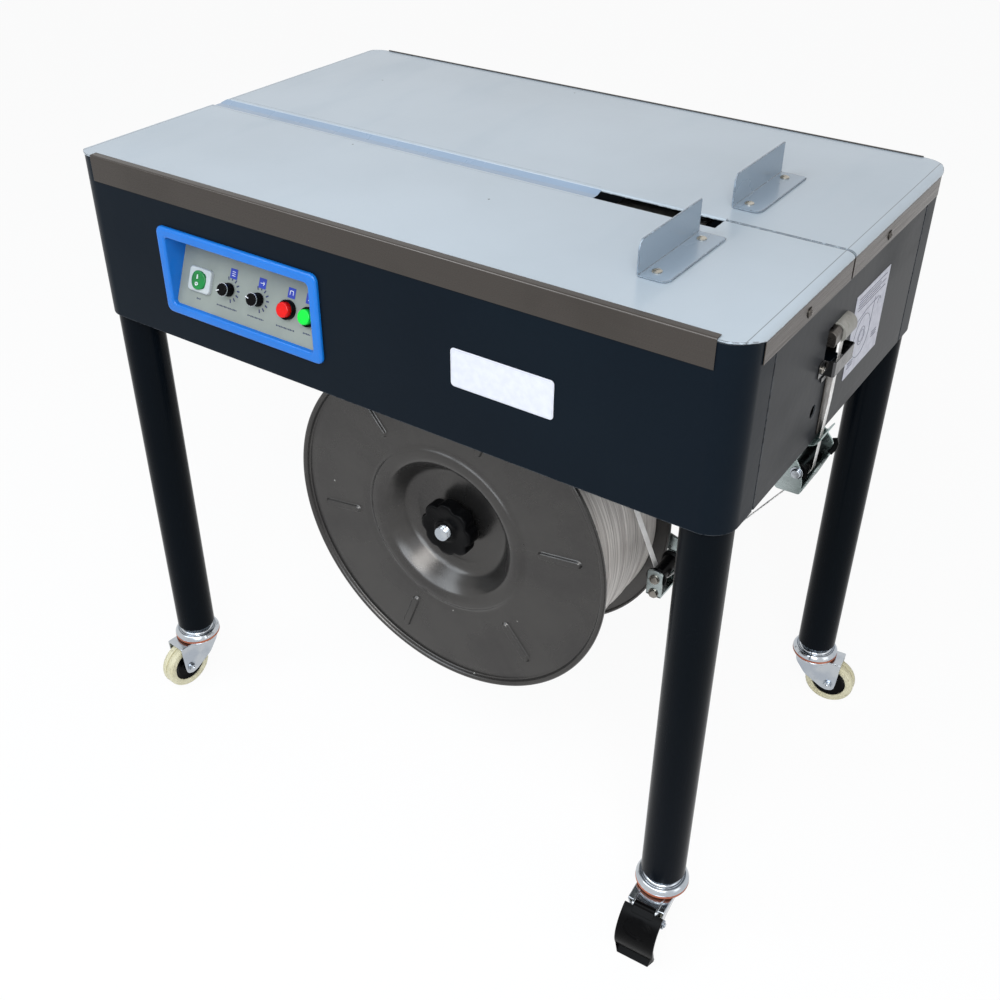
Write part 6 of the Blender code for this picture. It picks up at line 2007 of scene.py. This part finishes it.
def inside():
    """The mechanism keeps its own solids and gets finishes."""
    finishes = {
        "deck_frame": DARK, "drive_motor": DARK, "head_frame": BLACK, "drive_belt": RUBBER,
        "feed_roller": RUBBER,
        "control_box": PLATE_GREY, "camshaft": DULL_STEEL, "motor_pulley": DULL_STEEL, "anvil_slide": STEEL,
        "gripper_block": DULL_STEEL, "heater_blade": STEEL,
    }
    for name, material in finishes.items():
        mesh = frame["nodes"][name].data
        mesh.materials.clear()
        mesh.materials.append(material)


# --- the machine, its light and the camera --------------------------------------------------

table_plates()
package_stop("package_stop_front")
package_stop("package_stop_rear")
cabinet()
edge_trims()
inner_sheet()
legs()
casters()
controls()
labels()
reel()
dancer()
side_guide()
strap_guide()
strap()
hanger()
inside()


def seen_directly(tree):
    """One for camera, glossy and transmitted rays, nothing for the rays that only carry light."""
    path = node(tree, "LightPath").outputs
    carried = sum_of(tree, "MAXIMUM", path["Is Glossy Ray"], path["Is Transmission Ray"])
    return sum_of(tree, "MAXIMUM", path["Is Camera Ray"], carried)


def stage_material(name, colour, floor):
    """A pale surface that reads as an even white from the camera, in gloss and through glass."""
    made = bpy.data.materials.new(name)
    made.use_nodes = True
    tree = made.node_tree
    tree.nodes.clear()
    diffuse = node(tree, "BsdfDiffuse", {"Color": colour}).outputs[0]
    glow = node(tree, "Emission", {"Color": (1, 1, 1, 1), "Strength": 1.0}).outputs[0]
    seen = seen_directly(tree)
    share = sum_of(tree, "MULTIPLY", seen, floor)
    shader = node(tree, "MixShader", {0: share, 1: diffuse, 2: glow}).outputs[0]
    node(tree, "OutputMaterial", {0: shader})
    return made


def light(name, place, aim, size, energy, colour=(1, 1, 1)):
    data = bpy.data.lights.new(name, "AREA")
    data.shape = "RECTANGLE"
    data.size, data.size_y = size
    data.energy = energy
    data.color = colour
    lamp = bpy.data.objects.new(name, data)
    lamp.location = place
    lamp.rotation_euler = (Vector(aim) - Vector(place)).to_track_quat("-Z", "Y").to_euler()
    bpy.context.scene.collection.objects.link(lamp)


def studio():
    scene = bpy.context.scene
    mesh = bpy.data.meshes.new("floor")
    mesh.from_pydata(
        [(-30, -30, -0.0002), (30, -30, -0.0002), (30, 30, -0.0002), (-30, 30, -0.0002)], [], [(0, 1, 2, 3)]
    )
    floor = bpy.data.objects.new("floor", mesh)
    scene.collection.objects.link(floor)
    mesh.materials.append(stage_material("floor_pale", (0.9, 0.9, 0.9, 1), 0.93))
    world = bpy.data.worlds.new("studio")
    scene.world = world
    world.use_nodes = True
    tree = world.node_tree
    tree.nodes.clear()
    seen = seen_directly(tree)
    soft = node(tree, "Background", {"Color": (0.93, 0.96, 1.0, 1), "Strength": 0.42}).outputs[0]
    white = node(tree, "Background", {"Color": (1, 1, 1, 1), "Strength": 1.0}).outputs[0]
    shader = node(tree, "MixShader", {0: seen, 1: soft, 2: white}).outputs[0]
    node(tree, "OutputWorld", {0: shader})
    light("key", (1.0, -1.7, 2.45), (0.1, 0, 0.5), (1.1, 1.1), 31, (1.0, 0.99, 0.975))
    light("side", (3.0, -0.3, 1.5), (0, 0, 0.6), (1.2, 2.0), 10, (0.98, 0.99, 1.0))
    for place, tall, energy in (
        ((-1.1, -1.55, 2.3), 1.5, 22), ((0.1, -1.95, 1.95), 1.0, 13), ((1.25, -2.0, 1.45), 0.8, 14)
    ):
        light("front", place, (0, -0.25, 0.42), (1.2, tall), energy, (0.84, 0.92, 1.0))
    scene.view_settings.view_transform = "Standard"


LENS, SHIFT = 42.97, (-0.0025, -0.0265)
YAW, PITCH, ROLL = 2.158688, -0.595835, 0.009103
EYE_AT = (0.7827, -1.1834, 1.3637)


def camera():
    """Aimed by yaw, pitch and a slight roll: forward is the yaw and pitch direction, and the right
    and up directions square to it are turned about it by the roll.
    """
    data = bpy.data.cameras.new("camera")
    data.lens = LENS
    data.sensor_width = 36
    data.shift_x, data.shift_y = SHIFT
    data.clip_end = 100
    flat = math.cos(PITCH)
    ahead = Vector((flat * math.cos(YAW), flat * math.sin(YAW), math.sin(PITCH)))
    right = Vector((math.sin(YAW), -math.cos(YAW), 0))
    up = right.cross(ahead)
    turned_right = math.cos(ROLL) * right + math.sin(ROLL) * up
    turned_up = math.cos(ROLL) * up - math.sin(ROLL) * right
    matrix = Matrix.Identity(4)
    for column, direction in enumerate((turned_right, turned_up, -ahead)):
        for row in range(3):
            matrix[row][column] = direction[row]
    for row, value in enumerate(EYE_AT):
        matrix[row][3] = value + float(MIDDLE[row])
    eye = bpy.data.objects.new("camera", data)
    eye.matrix_world = matrix
    bpy.context.scene.collection.objects.link(eye)
    bpy.context.scene.camera = eye


studio()
camera()
